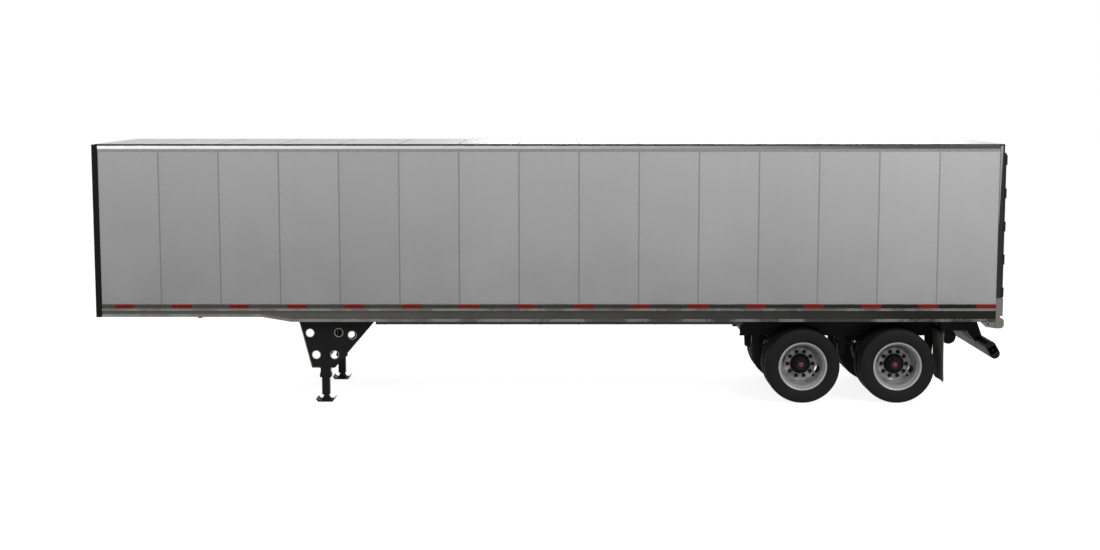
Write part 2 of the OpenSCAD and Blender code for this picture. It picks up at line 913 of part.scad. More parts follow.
module bogie_frame() {
    x0 = bogie_x - bogie_half_l;
    x1 = bogie_x + bogie_half_l;
    w = bogie_rail_w / 2;
    wall = 8;
    cross_x = [x0 + 90, bogie_x - 780, bogie_x, bogie_x + 780, x1 - 90];
    color("#1a1a1a") {
        // Two channels, open towards the middle
        for (side = [-1, 1])
            on_side(side)
                difference() {
                    block(x0, x1, bogie_rail_y - w, bogie_rail_y + w, bogie_z, bogie_top_z);
                    block(x0 - 1, x1 + 1, bogie_rail_y - w - 1, bogie_rail_y + w - wall,
                        bogie_z + wall, bogie_top_z - wall);
                }
        // Cross members between them
        for (x = cross_x)
            block(x - 40, x + 40, -bogie_rail_y - w + wall, bogie_rail_y + w - wall,
                bogie_z + 24, bogie_top_z - 24);
    }
}

// Cheeks either side of the spring, with the block that the spring bears on
module spring_hanger(x, low, block_z) {
    gap = spring_w / 2 + 4;
    top = bogie_z;
    translate([x, bogie_rail_y, 0]) {
        for (y = [-gap - hanger_t, gap])
            side_plate(y, y + hanger_t)
                polygon([
                    [-hanger_w / 2, top], [hanger_w / 2, top], [hanger_w / 2 - 16, low],
                    [-hanger_w / 2 + 16, low]
                ]);
        block(-hanger_w / 2, hanger_w / 2, -gap, gap, block_z, top);
    }
}

module spring_hangers() {
    color("#1a1a1a")
        for (side = [-1, 1])
            on_side(side) {
                for (x = [axles_x[0] - spring_half_l, axles_x[1] + spring_half_l])
                    spring_hanger(x, spring_z - 60, spring_end_z + seat_gap);
                // Middle hanger with its equalizer beam
                spring_hanger(bogie_x, spring_z - 20, spring_end_z + equalizer_h);
                translate([bogie_x, bogie_rail_y, 0])
                    side_plate(-spring_w / 2, spring_w / 2)
                        polygon([
                            [-axle_pitch / 2 + spring_half_l - 40, spring_end_z + seat_gap],
                            [axle_pitch / 2 - spring_half_l + 40, spring_end_z + seat_gap],
                            [60, spring_end_z + equalizer_h], [-60, spring_end_z + equalizer_h]
                        ]);
            }
}

// A pack of leaves curved upwards, its lowest leaf seated at the origin
module leaf_spring() {
    side_plate(-spring_w / 2, spring_w / 2)
        for (i = [0 : spring_leaves - 1])
            intersection() {
                difference() {
                    translate([0, spring_r])
                        circle(spring_r - i * spring_leaf_t, $fn = 360);
                    translate([0, spring_r])
                        circle(spring_r - (i + 1) * spring_leaf_t, $fn = 360);
                }
                translate([-(spring_half_l - 150 * (spring_leaves - 1 - i)), -1])
                    square([2 * (spring_half_l - 150 * (spring_leaves - 1 - i)), 400]);
            }
}

module leaf_springs() {
    color("#1a1a1a")
        for (side = [-1, 1], x = axles_x)
            on_side(side)
                translate([x, bogie_rail_y, spring_z])
                    leaf_spring();
}

module axle(x) {
    shoulder_y = wheel_seat_y - disc_t - 20 - drum_w - 30;
    color("#1a1a1a")
        translate([x, 0, axle_z]) {
            shaft_y(axle_r, -shoulder_y, shoulder_y);
            shaft_y(spindle_r, -wheel_seat_y - 70, wheel_seat_y + 70);
            for (side = [-1, 1])
                on_side(side) {
                    // Spring seat with its lower plate
                    block(-80, 80, bogie_rail_y - spring_w / 2, bogie_rail_y + spring_w / 2,
                        20, axle_r + spring_seat_h);
                    block(-70, 70, bogie_rail_y - spring_w / 2 - 10,
                        bogie_rail_y + spring_w / 2 + 10, -axle_r - 18, -axle_r + 20);
                    // Brake spider
                    shaft_y(150, shoulder_y - 14, shoulder_y);
                }
        }
}

module brake_chambers() {
    shoulder_y = wheel_seat_y - disc_t - 20 - drum_w - 30;
    color("#1a1a1a")
        for (side = [-1, 1], x = axles_x)
            on_side(side)
                translate([x + 150, 0, axle_z + 30]) {
                    // Camshaft from the bracket to the brake spider
                    shaft_y(18, 260, shoulder_y - 14);
                    block(axle_r - 150, 24, 250, 262, -50, 40);
                    // Pot across the axle
                    translate([0, 330, 70])
                        rotate([0, 90, 0]) {
                            cylinder(r = 78, h = 70);
                            translate([0, 0, 70])
                                cylinder(r = 84, h = 14);
                            translate([0, 0, 84])
                                cylinder(r = 72, h = 80);
                        }
                    block(-14, 0, 262, 400, -10, 150);
                }
}

module mud_flaps() {
    color("#2b2b2b")
        for (side = [-1, 1])
            on_side(side)
                block(flap_x, flap_x + flap_t, flap_y - flap_w / 2, flap_y + flap_w / 2,
                    flap_z, flap_z + flap_h);
}

module mud_flap_bracket() {
    z = flap_z + flap_h;
    color("#1a1a1a")
        for (side = [-1, 1])
            on_side(side) {
                block(flap_x - 24, flap_x + flap_t + 14, bogie_rail_y + bogie_rail_w / 2,
                    half_w - 12, z, z + 34);
                block(flap_x + flap_t, flap_x + flap_t + 14, flap_y - flap_w / 2,
                    flap_y + flap_w / 2, z - 60, z);
            }
}

module air_tank() {
    half = 380;
    color("#1a1a1a")
        translate([tank_x, 0, tank_z]) {
            shaft_y(tank_r, -half, half);
            for (side = [-1, 1])
                on_side(side) {
                    shaft_y(tank_r - 22, half, half + 26);
                    // Strap up to the last cross member of the bogie
                    block(-tank_r - 30, 0, half - 140, half - 90, tank_r - 20,
                        bogie_z - tank_z + 60);
                }
        }
}

// Places its children on the seat face of a wheel pair, Z pointing outwards
module at_wheel(axle_i, side) {
    on_side(side)
        translate([axles_x[axle_i], wheel_seat_y, axle_z])
            rotate([-90, 0, 0])
                children();
}

// Half section of a tyre, X is the radius and Y the distance from its middle plane
module tyre_section() {
    bulge_r = 260;
    wall_r = 465;
    intersection() {
        translate([rim_r - 21, -tyre_w / 2])
            square([tyre_r - rim_r + 21, tyre_w]);
        translate([tyre_r - 900, 0])
            circle(900, $fn = 360);
        sidewall_outline(wall_r, bulge_r);
    }
}

// The space common to two large circles, one for each sidewall
module sidewall_outline(wall_r, bulge_r) {
    intersection() {
        translate([wall_r, tyre_w / 2 - bulge_r])
            circle(bulge_r, $fn = 180);
        translate([wall_r, bulge_r - tyre_w / 2])
            circle(bulge_r, $fn = 180);
    }
}

module tyres(axle_i, side) {
    color("#1f1f1f")
        at_wheel(axle_i, side)
            for (s = [-1, 1])
                translate([0, 0, s * dual_pitch / 2])
                    rotate_extrude($fn = 128)
                        difference() {
                            tyre_section();
                            // Air space above the rim
                            translate([rim_r - 30, -tyre_w / 2 + 36])
                                square([tyre_r - rim_r - 2, tyre_w - 72]);
                            // Room for the rim's flanges
                            for (y = [-rim_w, rim_w / 2 - flange_seat])
                                translate([rim_r - 30, y])
                                    square([30 + seat_gap, rim_w / 2 + flange_seat]);
                        }
}

// Half section of a wheel: rim barrel with its disc seated at Y = 0
module rim_section() {
    mid = dual_pitch / 2;
    out = mid + rim_w / 2;
    in = mid - rim_w / 2;
    polygon([
        // Outside of the barrel, from the outer flange inwards
        [rim_r, out], [rim_r, out - 10], [rim_r - 21.5, out - 12], [rim_r - 27, out - 60],
        [rim_r - 52, out - 86], [rim_r - 52, in + 86], [rim_r - 27, in + 60],
        [rim_r - 21.5, in + 12], [rim_r, in + 10], [rim_r, in], [rim_r - 12, in],
        [rim_r - 32, in + 16],
        // Back of the disc
        [rim_r - 40, in + 58], [rim_r - 66, in + 78], [rim_r - 84, in + 10],
        [nut_circle_r + 58, 0], [disc_bore_r, 0],
        // Face of the disc and the bowl
        [disc_bore_r, disc_t], [nut_circle_r + 50, disc_t], [nut_circle_r + 72, disc_t + 14],
        [rim_r - 72, in + 50], [rim_r - 64, in + 110], [rim_r - 63, out - 92],
        [rim_r - 39, out - 62], [rim_r - 35, out - 20], [rim_r - 12, out]
    ]);
}

module rims(axle_i, side) {
    hand_r = rim_r - 99;
    color("lightgray")
        at_wheel(axle_i, side)
            for (s = [1, -1])
                mirror([0, 0, s > 0 ? 0 : 1])
                    difference() {
                        rotate_extrude($fn = 128)
                            rim_section();
                        // Two hand holes and the valve hole
                        for (a = [18, 198])
                            rotate(a)
                                for (d = [-14, 14])
                                    translate([hand_r, d, -10])
                                        cylinder(r = 20, h = 120);
                        rotate(40)
                            translate([hand_r, 0, -10])
                                cylinder(r = 13, h = 120);
                        for (i = [0 : stud_count - 1])
                            rotate(i * 360 / stud_count)
                                translate([nut_circle_r, 0, -1])
                                    cylinder(r = stud_r + 1, h = disc_t + 2);
                    }
}

module hub(axle_i, side) {
    back = -disc_t - 20;
    color("#1f1f1f")
        at_wheel(axle_i, side)
            difference() {
                union() {
                    // Brake drum and its face
                    translate([0, 0, back - drum_w])
                        difference() {
                            cylinder(r = drum_r, h = drum_w + 20);
                            translate([0, 0, -1])
                                cylinder(r = drum_r - 20, h = drum_w + 1);
                        }
                    // Hub barrel, pilot and stepped cap
                    translate([0, 0, back - drum_w + 10])
                        cylinder(r = 92, h = drum_w);
                    translate([0, 0, back])
                        cylinder(r = hub_r, h = disc_t * 2 + 20 + 46);
                    translate([0, 0, disc_t + 46])
                        cylinder(r1 = hub_r, r2 = 118, h = 26);
                    translate([0, 0, disc_t + 72])
                        cylinder(r = 96, h = 44);
                    // Studs through both discs, and the nuts on the outer one
                    for (i = [0 : stud_count - 1])
                        rotate(i * 360 / stud_count)
                            translate([nut_circle_r, 0, 0]) {
                                translate([0, 0, back])
                                    cylinder(r = stud_r, h = disc_t - back + 34);
                                translate([0, 0, disc_t])
                                    cylinder(r = nut_r, h = 28, $fn = 6);
                            }
                }
                // Bearing bore
                translate([0, 0, back - drum_w - 1])
                    cylinder(r = spindle_r + pin_clear, h = drum_w - back + 75);
            }
}

floor_boards();
floor_crossmembers();
bottom_rail(-1);  // left_bottom_rail
bottom_rail(1);  // right_bottom_rail
side_panels(-1);  // left_side_panels
side_panels(1);  // right_side_panels
wall_posts(-1);  // left_wall_posts
wall_posts(1);  // right_wall_posts
top_rail(-1);  // left_top_rail
top_rail(1);  // right_top_rail
roof_sheet();
roof_bows();
front_wall_panels();
front_wall_posts();
front_corner_posts();
rear_post(-1);  // left_rear_post
rear_post(1);  // right_rear_post
rear_header();
rear_sill();
dock_bumpers();
rear_lamps();
upper_coupler();
kingpin();
nose_service_box();
landing_leg(-1);  // left_landing_leg
landing_leg(1);  // right_landing_leg
landing_gusset(-1);  // left_landing_gusset
landing_gusset(1);  // right_landing_gusset
landing_gear_brace();
landing_gear_crank();
slider_body_rails();
underride_guard();
rear_door(-1);  // left_rear_door
rear_door(1);  // right_rear_door
door_hinges(-1);  // left_door_hinges
door_hinges(1);  // right_door_hinges
lock_rods(-1);  // left_lock_rods
lock_rods(1);  // right_lock_rods
bogie_frame();
spring_hangers();
leaf_springs();
axle(axles_x[0]);  // front_axle
axle(axles_x[1]);  // rear_axle
brake_chambers();
mud_flaps();
mud_flap_bracket();
air_tank();
tyres(0, -1);  // front_left_tyres
rims(0, -1);  // front_left_rims
hub(0, -1);  // front_left_hub
tyres(0, 1);  // front_right_tyres
rims(0, 1);  // front_right_rims
hub(0, 1);  // front_right_hub
tyres(1, -1);  // rear_left_tyres
rims(1, -1);  // rear_left_rims
hub(1, -1);  // rear_left_hub
tyres(1, 1);  // rear_right_tyres
rims(1, 1);  // rear_right_rims
hub(1, 1);  // rear_right_hub
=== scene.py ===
"""Van semi trailer with plate walls: the finished pieces around its frame, laid out as an add-on."""

import math

import bmesh
import bpy
from bpy.props import FloatProperty, FloatVectorProperty, IntProperty, PointerProperty
from mathutils import Matrix, Vector


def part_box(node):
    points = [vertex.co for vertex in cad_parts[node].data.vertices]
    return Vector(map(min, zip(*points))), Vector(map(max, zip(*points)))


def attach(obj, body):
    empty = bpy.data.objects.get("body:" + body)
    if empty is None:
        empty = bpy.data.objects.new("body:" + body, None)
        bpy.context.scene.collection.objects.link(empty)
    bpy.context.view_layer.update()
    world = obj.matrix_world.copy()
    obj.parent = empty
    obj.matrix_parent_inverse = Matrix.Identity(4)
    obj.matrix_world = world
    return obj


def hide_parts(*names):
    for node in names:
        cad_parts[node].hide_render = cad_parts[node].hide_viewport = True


bl_info = {
    "name": "Van Semi Trailer",
    "version": (1, 0, 0),
    "blender": (4, 5, 0),
    "location": "3D View > Sidebar > Trailer",
    "description": "Builds the finished pieces of a van semi trailer around its frame",
    "category": "Object",
}

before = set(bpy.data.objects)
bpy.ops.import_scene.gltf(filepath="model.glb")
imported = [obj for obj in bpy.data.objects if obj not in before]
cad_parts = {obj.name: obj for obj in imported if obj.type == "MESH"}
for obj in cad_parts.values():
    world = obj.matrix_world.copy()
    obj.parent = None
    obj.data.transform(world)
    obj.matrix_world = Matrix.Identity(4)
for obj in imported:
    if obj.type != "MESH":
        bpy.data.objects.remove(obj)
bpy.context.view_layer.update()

# Places read from the frame, in metres
PLATES_LOW, PLATES_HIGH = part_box("left_side_panels")
RAIL_LOW, RAIL_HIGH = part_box("left_bottom_rail")
TOP_LOW, TOP_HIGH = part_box("left_top_rail")
ROOF_LOW, ROOF_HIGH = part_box("roof_sheet")
DOOR_LOW, DOOR_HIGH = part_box("left_rear_door")
POST_LOW, POST_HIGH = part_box("left_rear_post")
SILL_LOW, SILL_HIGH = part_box("rear_sill")
HEADER_LOW, HEADER_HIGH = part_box("rear_header")
GUSSET_LOW, GUSSET_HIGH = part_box("left_landing_gusset")
LEG_LOW, LEG_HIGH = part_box("left_landing_leg")
FLAPS_LOW, FLAPS_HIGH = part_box("mud_flaps")
LAMPS_LOW, LAMPS_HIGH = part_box("rear_lamps")
BOARDS_LOW, BOARDS_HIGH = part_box("floor_boards")
CORNERS_LOW, CORNERS_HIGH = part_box("front_corner_posts")
POST_FRONT = CORNERS_LOW.x
RAIL_LOW_FRONT = CORNERS_LOW.z

PLATE_COUNT = 15
PLATE_PITCH = (PLATES_HIGH.x - PLATES_LOW.x) / PLATE_COUNT
PLATE_FACE = -PLATES_LOW.y
RAIL_FACE = -RAIL_LOW.y
LAND_FACE = RAIL_FACE - 0.003
WEB_FACE = RAIL_FACE - 0.008
RIDGE_LOW = RAIL_HIGH.z - 0.105
RIDGE_HIGH = RIDGE_LOW + 0.038
LAND_HIGH = RAIL_HIGH.z - 0.006
REAR_FACE = DOOR_HIGH.x
AXLES = ("front", "rear")
SIDES = {"left": -1, "right": 1}
DISC_FACE = 0.022
FULL_TURN = 2 * math.pi


def linear(red, green, blue):
    """A colour given in display values from 0 to 255, as linear values."""
    return tuple(
        c / 255 / 12.92 if c / 255 <= 0.04045 else ((c / 255 + 0.055) / 1.055) ** 2.4
        for c in (red, green, blue)
    )


def colour(name, description, red, green, blue):
    """A colour property."""
    return FloatVectorProperty(
        name=name,
        description=description,
        subtype="COLOR",
        size=3,
        min=0,
        max=1,
        default=linear(red, green, blue),
    )


def length(name, description, default):
    """A length property in metres."""
    return FloatProperty(
        name=name, description=description, default=default, min=0, unit="LENGTH", precision=4
    )


class TrailerSizes(bpy.types.PropertyGroup):
    """Sizes of the finished pieces."""

    strip_count: IntProperty(
        name="Strips", description="Number of reflective strips on each rail", default=16, min=1
    )
    strip_length: length("Strip length", "Length of a reflective strip", 0.3)
    strip_height: length("Strip height", "Height of a reflective strip", 0.060)
    strip_first: length("First strip", "Distance of the first strip's middle from the plates' edge", 0.344)
    strip_pitch: length("Strip pitch", "Distance between reflective strips", 0.8726)
    seam_width: length("Seam width", "Width of the cover strip over a plate seam", 0.022)
    rivet_radius: length("Rivet radius", "Radius of the wall rivets", 0.009)
    rivet_pitch: length("Rivet pitch", "Distance between the wall rivets", 0.15)
    rib_count: IntProperty(
        name="Tread blocks", description="Number of notches round each shoulder", default=60, min=12
    )
    hand_hole_length: length("Hand hole length", "Length of a wheel's hand holes", 0.114)
    hand_hole_width: length("Hand hole width", "Width of a wheel's hand holes", 0.064)


class TrailerColours(bpy.types.PropertyGroup):
    """Colours of the finishes."""

    wall: colour("Wall plates", "Painted plates of the walls", 172, 172, 172)
    seam: colour("Seam strips", "Strips over the plate seams", 140, 140, 140)
    rail: colour("Rails", "Clean mill finish of the rails", 92, 91, 86)
    # The rails' colour at the rear: painted shade that darkens them towards the wheels
    rail_rear_shade: colour("Grime", "Road grime on the rails", 19, 19, 17)
    tape: colour("Reflective strips", "Red reflective strips", 116, 12, 9)
    black: colour("Black paint", "Chassis paint", 13, 13, 14)
    post: colour("Post paint", "Paint of the corner and door posts", 38, 38, 39)
    steel: colour("Galvanised steel", "Sill, posts' feet and hardware", 113, 109, 103)
    rubber: colour("Rubber", "Tyres and mud flaps", 23, 23, 24)
    rim: colour("Rims", "Polished rims", 176, 176, 176)
    hub: colour("Hubs", "Hub and drum paint", 11, 11, 12)
    plug: colour("Hub plugs", "Plugs in the hub caps", 120, 10, 38)
    wood: colour("Floor wood", "Laminated hardwood floor", 168, 124, 78)
    lens: colour("Lamp lenses", "Red lamp lenses", 110, 6, 6)


# --- Mesh helpers -------------------------------------------------------------------------------


def add_box(bm, low, high, bevel=0.0, segments=1):
    """Adds a block between two corners, given in any order, with rounded edges."""
    a = Vector(map(min, low, high))
    b = Vector(map(max, low, high))
    made = bmesh.ops.create_cube(
        bm, size=1.0, matrix=Matrix.LocRotScale((a + b) / 2, None, b - a)
    )
    if bevel:
        edges = list({e for v in made["verts"] for e in v.link_edges})
        bmesh.ops.bevel(
            bm, geom=edges, offset=bevel, offset_type="OFFSET", segments=segments,
            profile=0.5, affect="EDGES", material=-1,
        )


def add_bar(bm, start, end, normal, width, thickness):
    """Adds a straight flat bar that lies on a face, between two points on that face."""
    start, end, normal = Vector(start), Vector(end), Vector(normal)
    run = end - start
    across = normal.cross(run).normalized()
    turn = Matrix((run.normalized(), across, normal)).transposed().to_4x4()
    size = Matrix.Diagonal((run.length, width, thickness, 1))
    place = Matrix.Translation((start + end) / 2 + normal * thickness / 2)
    bmesh.ops.create_cube(bm, size=1.0, matrix=place @ turn @ size)


def add_peg(bm, base, direction, radius, depth, segments=8, top=None):
    """Adds a straight or tapered peg that stands on a base point."""
    direction = Vector(direction).normalized()
    turn = direction.to_track_quat("Z", "Y").to_matrix().to_4x4()
    bmesh.ops.create_cone(
        bm, cap_ends=True, segments=segments, radius1=radius,
        radius2=radius if top is None else top, depth=depth,
        matrix=Matrix.Translation(Vector(base) + direction * depth / 2) @ turn,
    )


def add_lathe(bm, profile, steps, matrix=Matrix.Identity(4)):
    """Spins a closed profile of (radius, height) points about Z, then places it."""
    before = set(bm.verts)
    verts = [bm.verts.new((r, 0, z)) for r, z in profile]
    edges = [bm.edges.new(pair) for pair in zip(verts, verts[1:] + verts[:1])]
    bmesh.ops.spin(
        bm, geom=verts + edges, cent=(0, 0, 0), axis=(0, 0, 1), angle=FULL_TURN,
        steps=steps, use_merge=True, use_duplicate=False,
    )
    made = [v for v in bm.verts if v not in before]
    bmesh.ops.transform(bm, matrix=matrix, verts=made)
    return made


def along(first, last, pitch):
    """Evenly spaced places from first to last, about a pitch apart."""
    count = max(1, round((last - first) / pitch))
    return [first + (last - first) * i / count for i in range(count + 1)]


def make_piece(name, bm, finish, body, replaced=(), smooth=None):
    """Turns a bmesh into a piece that rides on a body."""
    bmesh.ops.remove_doubles(bm, verts=bm.verts, dist=1e-6)
    bmesh.ops.recalc_face_normals(bm, faces=bm.faces)
    mesh = bpy.data.meshes.new(name)
    bm.to_mesh(mesh)
    bm.free()
    mesh.materials.append(finish)
    if smooth:
        mesh.shade_smooth()
        mesh.set_sharp_from_angle(angle=math.radians(smooth))
    piece = bpy.data.objects.new(name, mesh)
    bpy.context.scene.collection.objects.link(piece)
    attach(piece, body)
    if replaced:
        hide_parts(*replaced)
    return piece


def wheel_place(axle, side_name):
    """Matrix from a wheel pair's own frame to its place: Z points outwards, Y down."""
    low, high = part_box(f"{axle}_{side_name}_tyres")
    side = SIDES[side_name]
    turn = Matrix(((1, 0, 0, 0), (0, 0, side, 0), (0, -1, 0, 0), (0, 0, 0, 1)))
    return Matrix.Translation((low + high) / 2) @ turn


# --- Material helpers ---------------------------------------------------------------------------


def add_node(tree, kind, values=None, **settings):
    """Adds a shader node. A value that is a socket is linked, any other is set."""
    made = tree.nodes.new(kind)
    for key, value in settings.items():
        setattr(made, key, value)
    for key, value in (values or {}).items():
        if isinstance(value, bpy.types.NodeSocket):
            tree.links.new(value, made.inputs[key])
        else:
            made.inputs[key].default_value = value
    return made


def ramp(tree, value, low, high, to_low=0.0, to_high=1.0):
    """Maps a value from one range to another, clamped."""
    return add_node(
        tree, "ShaderNodeMapRange",
        {0: value, 1: low, 2: high, 3: to_low, 4: to_high}, clamp=True,
    ).outputs[0]


def math_node(tree, operation, a, b=0.0, clamp=False):
    """One Math node."""
    return add_node(
        tree, "ShaderNodeMath", {0: a, 1: b}, operation=operation, use_clamp=clamp
    ).outputs[0]


def blend_colours(tree, mask, a, b):
    """Mixes two colours by a mask."""
    mixed = add_node(tree, "ShaderNodeMix", {0: mask}, data_type="RGBA")
    for index, value in ((6, a), (7, b)):
        if isinstance(value, bpy.types.NodeSocket):
            tree.links.new(value, mixed.inputs[index])
        else:
            mixed.inputs[index].default_value = (*value[:3], 1)
    return mixed.outputs[2]


def effect_group(name, inputs, outputs):
    """A new shader node group with its sockets, and its two end nodes."""
    group = bpy.data.node_groups.new(name, "ShaderNodeTree")
    for label, kind, default in inputs:
        socket = group.interface.new_socket(label, in_out="INPUT", socket_type=kind)
        if default is not None:
            socket.default_value = default
    for label, kind in outputs:
        group.interface.new_socket(label, in_out="OUTPUT", socket_type=kind)
    return group, group.nodes.new("NodeGroupInput"), group.nodes.new("NodeGroupOutput")


def build_height_dust_and_shade():
    """A mask thick at one height and gone at another, in patches: dust from the road on most finishes,
    painted shade on the wall plates, seam strips and rivets.
    """
    group, start, end = effect_group(
        "height_dust_and_shade",
        [
            ("Vector", "NodeSocketVector", None),
            ("Thick At", "NodeSocketFloat", 0.0),
            ("Gone At", "NodeSocketFloat", 2.0),
            ("Amount", "NodeSocketFloat", 0.5),
            ("Scale", "NodeSocketFloat", 3.0),
        ],
        [("Mask", "NodeSocketFloat")],
    )
    ins = start.outputs
    height = add_node(group, "ShaderNodeSeparateXYZ", {0: ins["Vector"]}).outputs[2]
    fall = ramp(group, height, ins["Thick At"], ins["Gone At"], 1.0, 0.0)
    patches = add_node(
        group, "ShaderNodeTexNoise",
        {"Vector": ins["Vector"], "Scale": ins["Scale"], "Detail": 5.0, "Roughness": 0.6},
    ).outputs[0]
    cloud = ramp(group, patches, 0.3, 0.7, 0.55, 1.0)
    mask = math_node(group, "MULTIPLY", fall, cloud)
    mask = math_node(group, "MULTIPLY", mask, ins["Amount"], clamp=True)
    group.links.new(mask, end.inputs["Mask"])
    return group


def build_grain():
    """Fine surface grain, with a slow waviness under it."""
    group, start, end = effect_group(
        "surface_grain",
        [
            ("Vector", "NodeSocketVector", None),
            ("Stretch", "NodeSocketVector", (1, 1, 1)),
            ("Scale", "NodeSocketFloat", 200.0),
            ("Wave Scale", "NodeSocketFloat", 1.5),
        ],
        [("Grain", "NodeSocketFloat"), ("Wave", "NodeSocketFloat")],
    )
    ins = start.outputs
    stretched = add_node(
        group, "ShaderNodeVectorMath", {0: ins["Vector"], 1: ins["Stretch"]}, operation="MULTIPLY"
    ).outputs[0]
    fine = add_node(
        group, "ShaderNodeTexNoise", {"Vector": stretched, "Scale": ins["Scale"], "Detail": 3.0}
    ).outputs[0]
    slow = add_node(
        group, "ShaderNodeTexNoise",
        {"Vector": ins["Vector"], "Scale": ins["Wave Scale"], "Detail": 1.0},
    ).outputs[0]
    group.links.new(fine, end.inputs["Grain"])
    group.links.new(slow, end.inputs["Wave"])
    return group


def build_streaks():
    """Run marks that water leaves down an upright surface."""
    group, start, end = effect_group(
        "run_marks",
        [("Vector", "NodeSocketVector", None), ("Scale", "NodeSocketFloat", 6.0)],
        [("Mask", "NodeSocketFloat")],
    )
    ins = start.outputs
    thin = add_node(
        group, "ShaderNodeVectorMath", {0: ins["Vector"], 1: (1.0, 1.0, 0.06)},
        operation="MULTIPLY",
    ).outputs[0]
    noise = add_node(
        group, "ShaderNodeTexNoise",
        {"Vector": thin, "Scale": ins["Scale"], "Detail": 6.0, "Roughness": 0.65},
    ).outputs[0]
    group.links.new(ramp(group, noise, 0.45, 0.75), end.inputs["Mask"])
    return group


def build_chips_and_glints():
    """Small spots scattered over a surface: chips in worn paint, and pale painted glints on the rails'
    raised faces.
    """
    group, start, end = effect_group(
        "chips",
        [
            ("Vector", "NodeSocketVector", None),
            ("Scale", "NodeSocketFloat", 24.0),
            ("Share", "NodeSocketFloat", 0.1),
        ],
        [("Mask", "NodeSocketFloat")],
    )
    ins = start.outputs
    spots = add_node(
        group, "ShaderNodeTexNoise",
        {"Vector": ins["Vector"], "Scale": ins["Scale"], "Detail": 8.0, "Roughness": 0.75},
    ).outputs[0]
    areas = add_node(
        group, "ShaderNodeTexNoise", {"Vector": ins["Vector"], "Scale": 2.5, "Detail": 2.0}
    ).outputs[0]
    both = math_node(group, "MULTIPLY", spots, areas)
    limit = math_node(group, "SUBTRACT", 0.42, ins["Share"])
    over = math_node(group, "SUBTRACT", both, limit)
    group.links.new(math_node(group, "MULTIPLY", over, 25.0, clamp=True), end.inputs["Mask"])
    return group


EFFECT_BUILDERS = {
    "height_dust_and_shade": build_height_dust_and_shade,
    "surface_grain": build_grain,
    "run_marks": build_streaks,
    "chips": build_chips_and_glints,
}


def effect(tree, name, values):
    """Places a shared effect in a material."""
    group = bpy.data.node_groups.get(name) or EFFECT_BUILDERS[name]()
    return add_node(tree, "ShaderNodeGroup", values, node_tree=group).outputs


def new_finish(name):
    """An empty material with its shader, and the object's own coordinates."""
    finish = bpy.data.materials.new(name)
    finish.use_nodes = True
    tree = finish.node_tree
    tree.nodes.clear()
    shader = add_node(tree, "ShaderNodeBsdfPrincipled")
    out = add_node(tree, "ShaderNodeOutputMaterial")
    tree.links.new(shader.outputs[0], out.inputs[0])
    place = add_node(tree, "ShaderNodeTexCoord").outputs["Object"]
    return finish, tree, shader, place


def set_bump(tree, shader, height, strength, distance):
    """Feeds a height to the shader's normal."""
    bump = add_node(
        tree, "ShaderNodeBump", {"Height": height, "Strength": strength, "Distance": distance}
    )
    tree.links.new(bump.outputs[0], shader.inputs["Normal"])


def worn_finish(
    name, base, dirt, rough, metallic=0.0, dust=(0.0, 1.5, 0.35), grain=(180.0, 0.25),
    stretch=(1, 1, 1), runs=0.0, chips=0.0, bare=(0.12, 0.115, 0.11), coat=0.0, shine=0.25,
):
    """A painted, moulded or plain metal finish with dust, run marks, chips and grain; on the seam strips
    and wall rivets the dust is a painted shade like the walls'.
    """
    finish, tree, shader, place = new_finish(name)
    thick, gone, amount = dust
    dust_and_shade_mask = effect(
        tree, "height_dust_and_shade",
        {"Vector": place, "Thick At": thick, "Gone At": gone, "Amount": amount, "Scale": 4.0},
    )["Mask"]
    tone = blend_colours(tree, dust_and_shade_mask, base, dirt)
    if runs:
        marks = effect(tree, "run_marks", {"Vector": place, "Scale": 7.0})["Mask"]
        tone = blend_colours(tree, math_node(tree, "MULTIPLY", marks, runs), tone, dirt)
    if chips:
        spots = effect(tree, "chips", {"Vector": place, "Scale": 30.0, "Share": chips})["Mask"]
        tone = blend_colours(tree, spots, tone, bare)
    tree.links.new(tone, shader.inputs["Base Color"])
    surface = effect(
        tree, "surface_grain", {"Vector": place, "Stretch": stretch, "Scale": grain[0]}
    )
    uneven = math_node(tree, "ADD", surface["Wave"], math_node(tree, "MULTIPLY", dust_and_shade_mask, 0.6))
    tree.links.new(ramp(tree, uneven, 0.3, 1.0, *rough), shader.inputs["Roughness"])
    set_bump(tree, shader, surface["Grain"], grain[1], 0.001)
    shader.inputs["Metallic"].default_value = metallic
    shader.inputs["Coat Weight"].default_value = coat
    shader.inputs["Specular IOR Level"].default_value = shine
    return finish


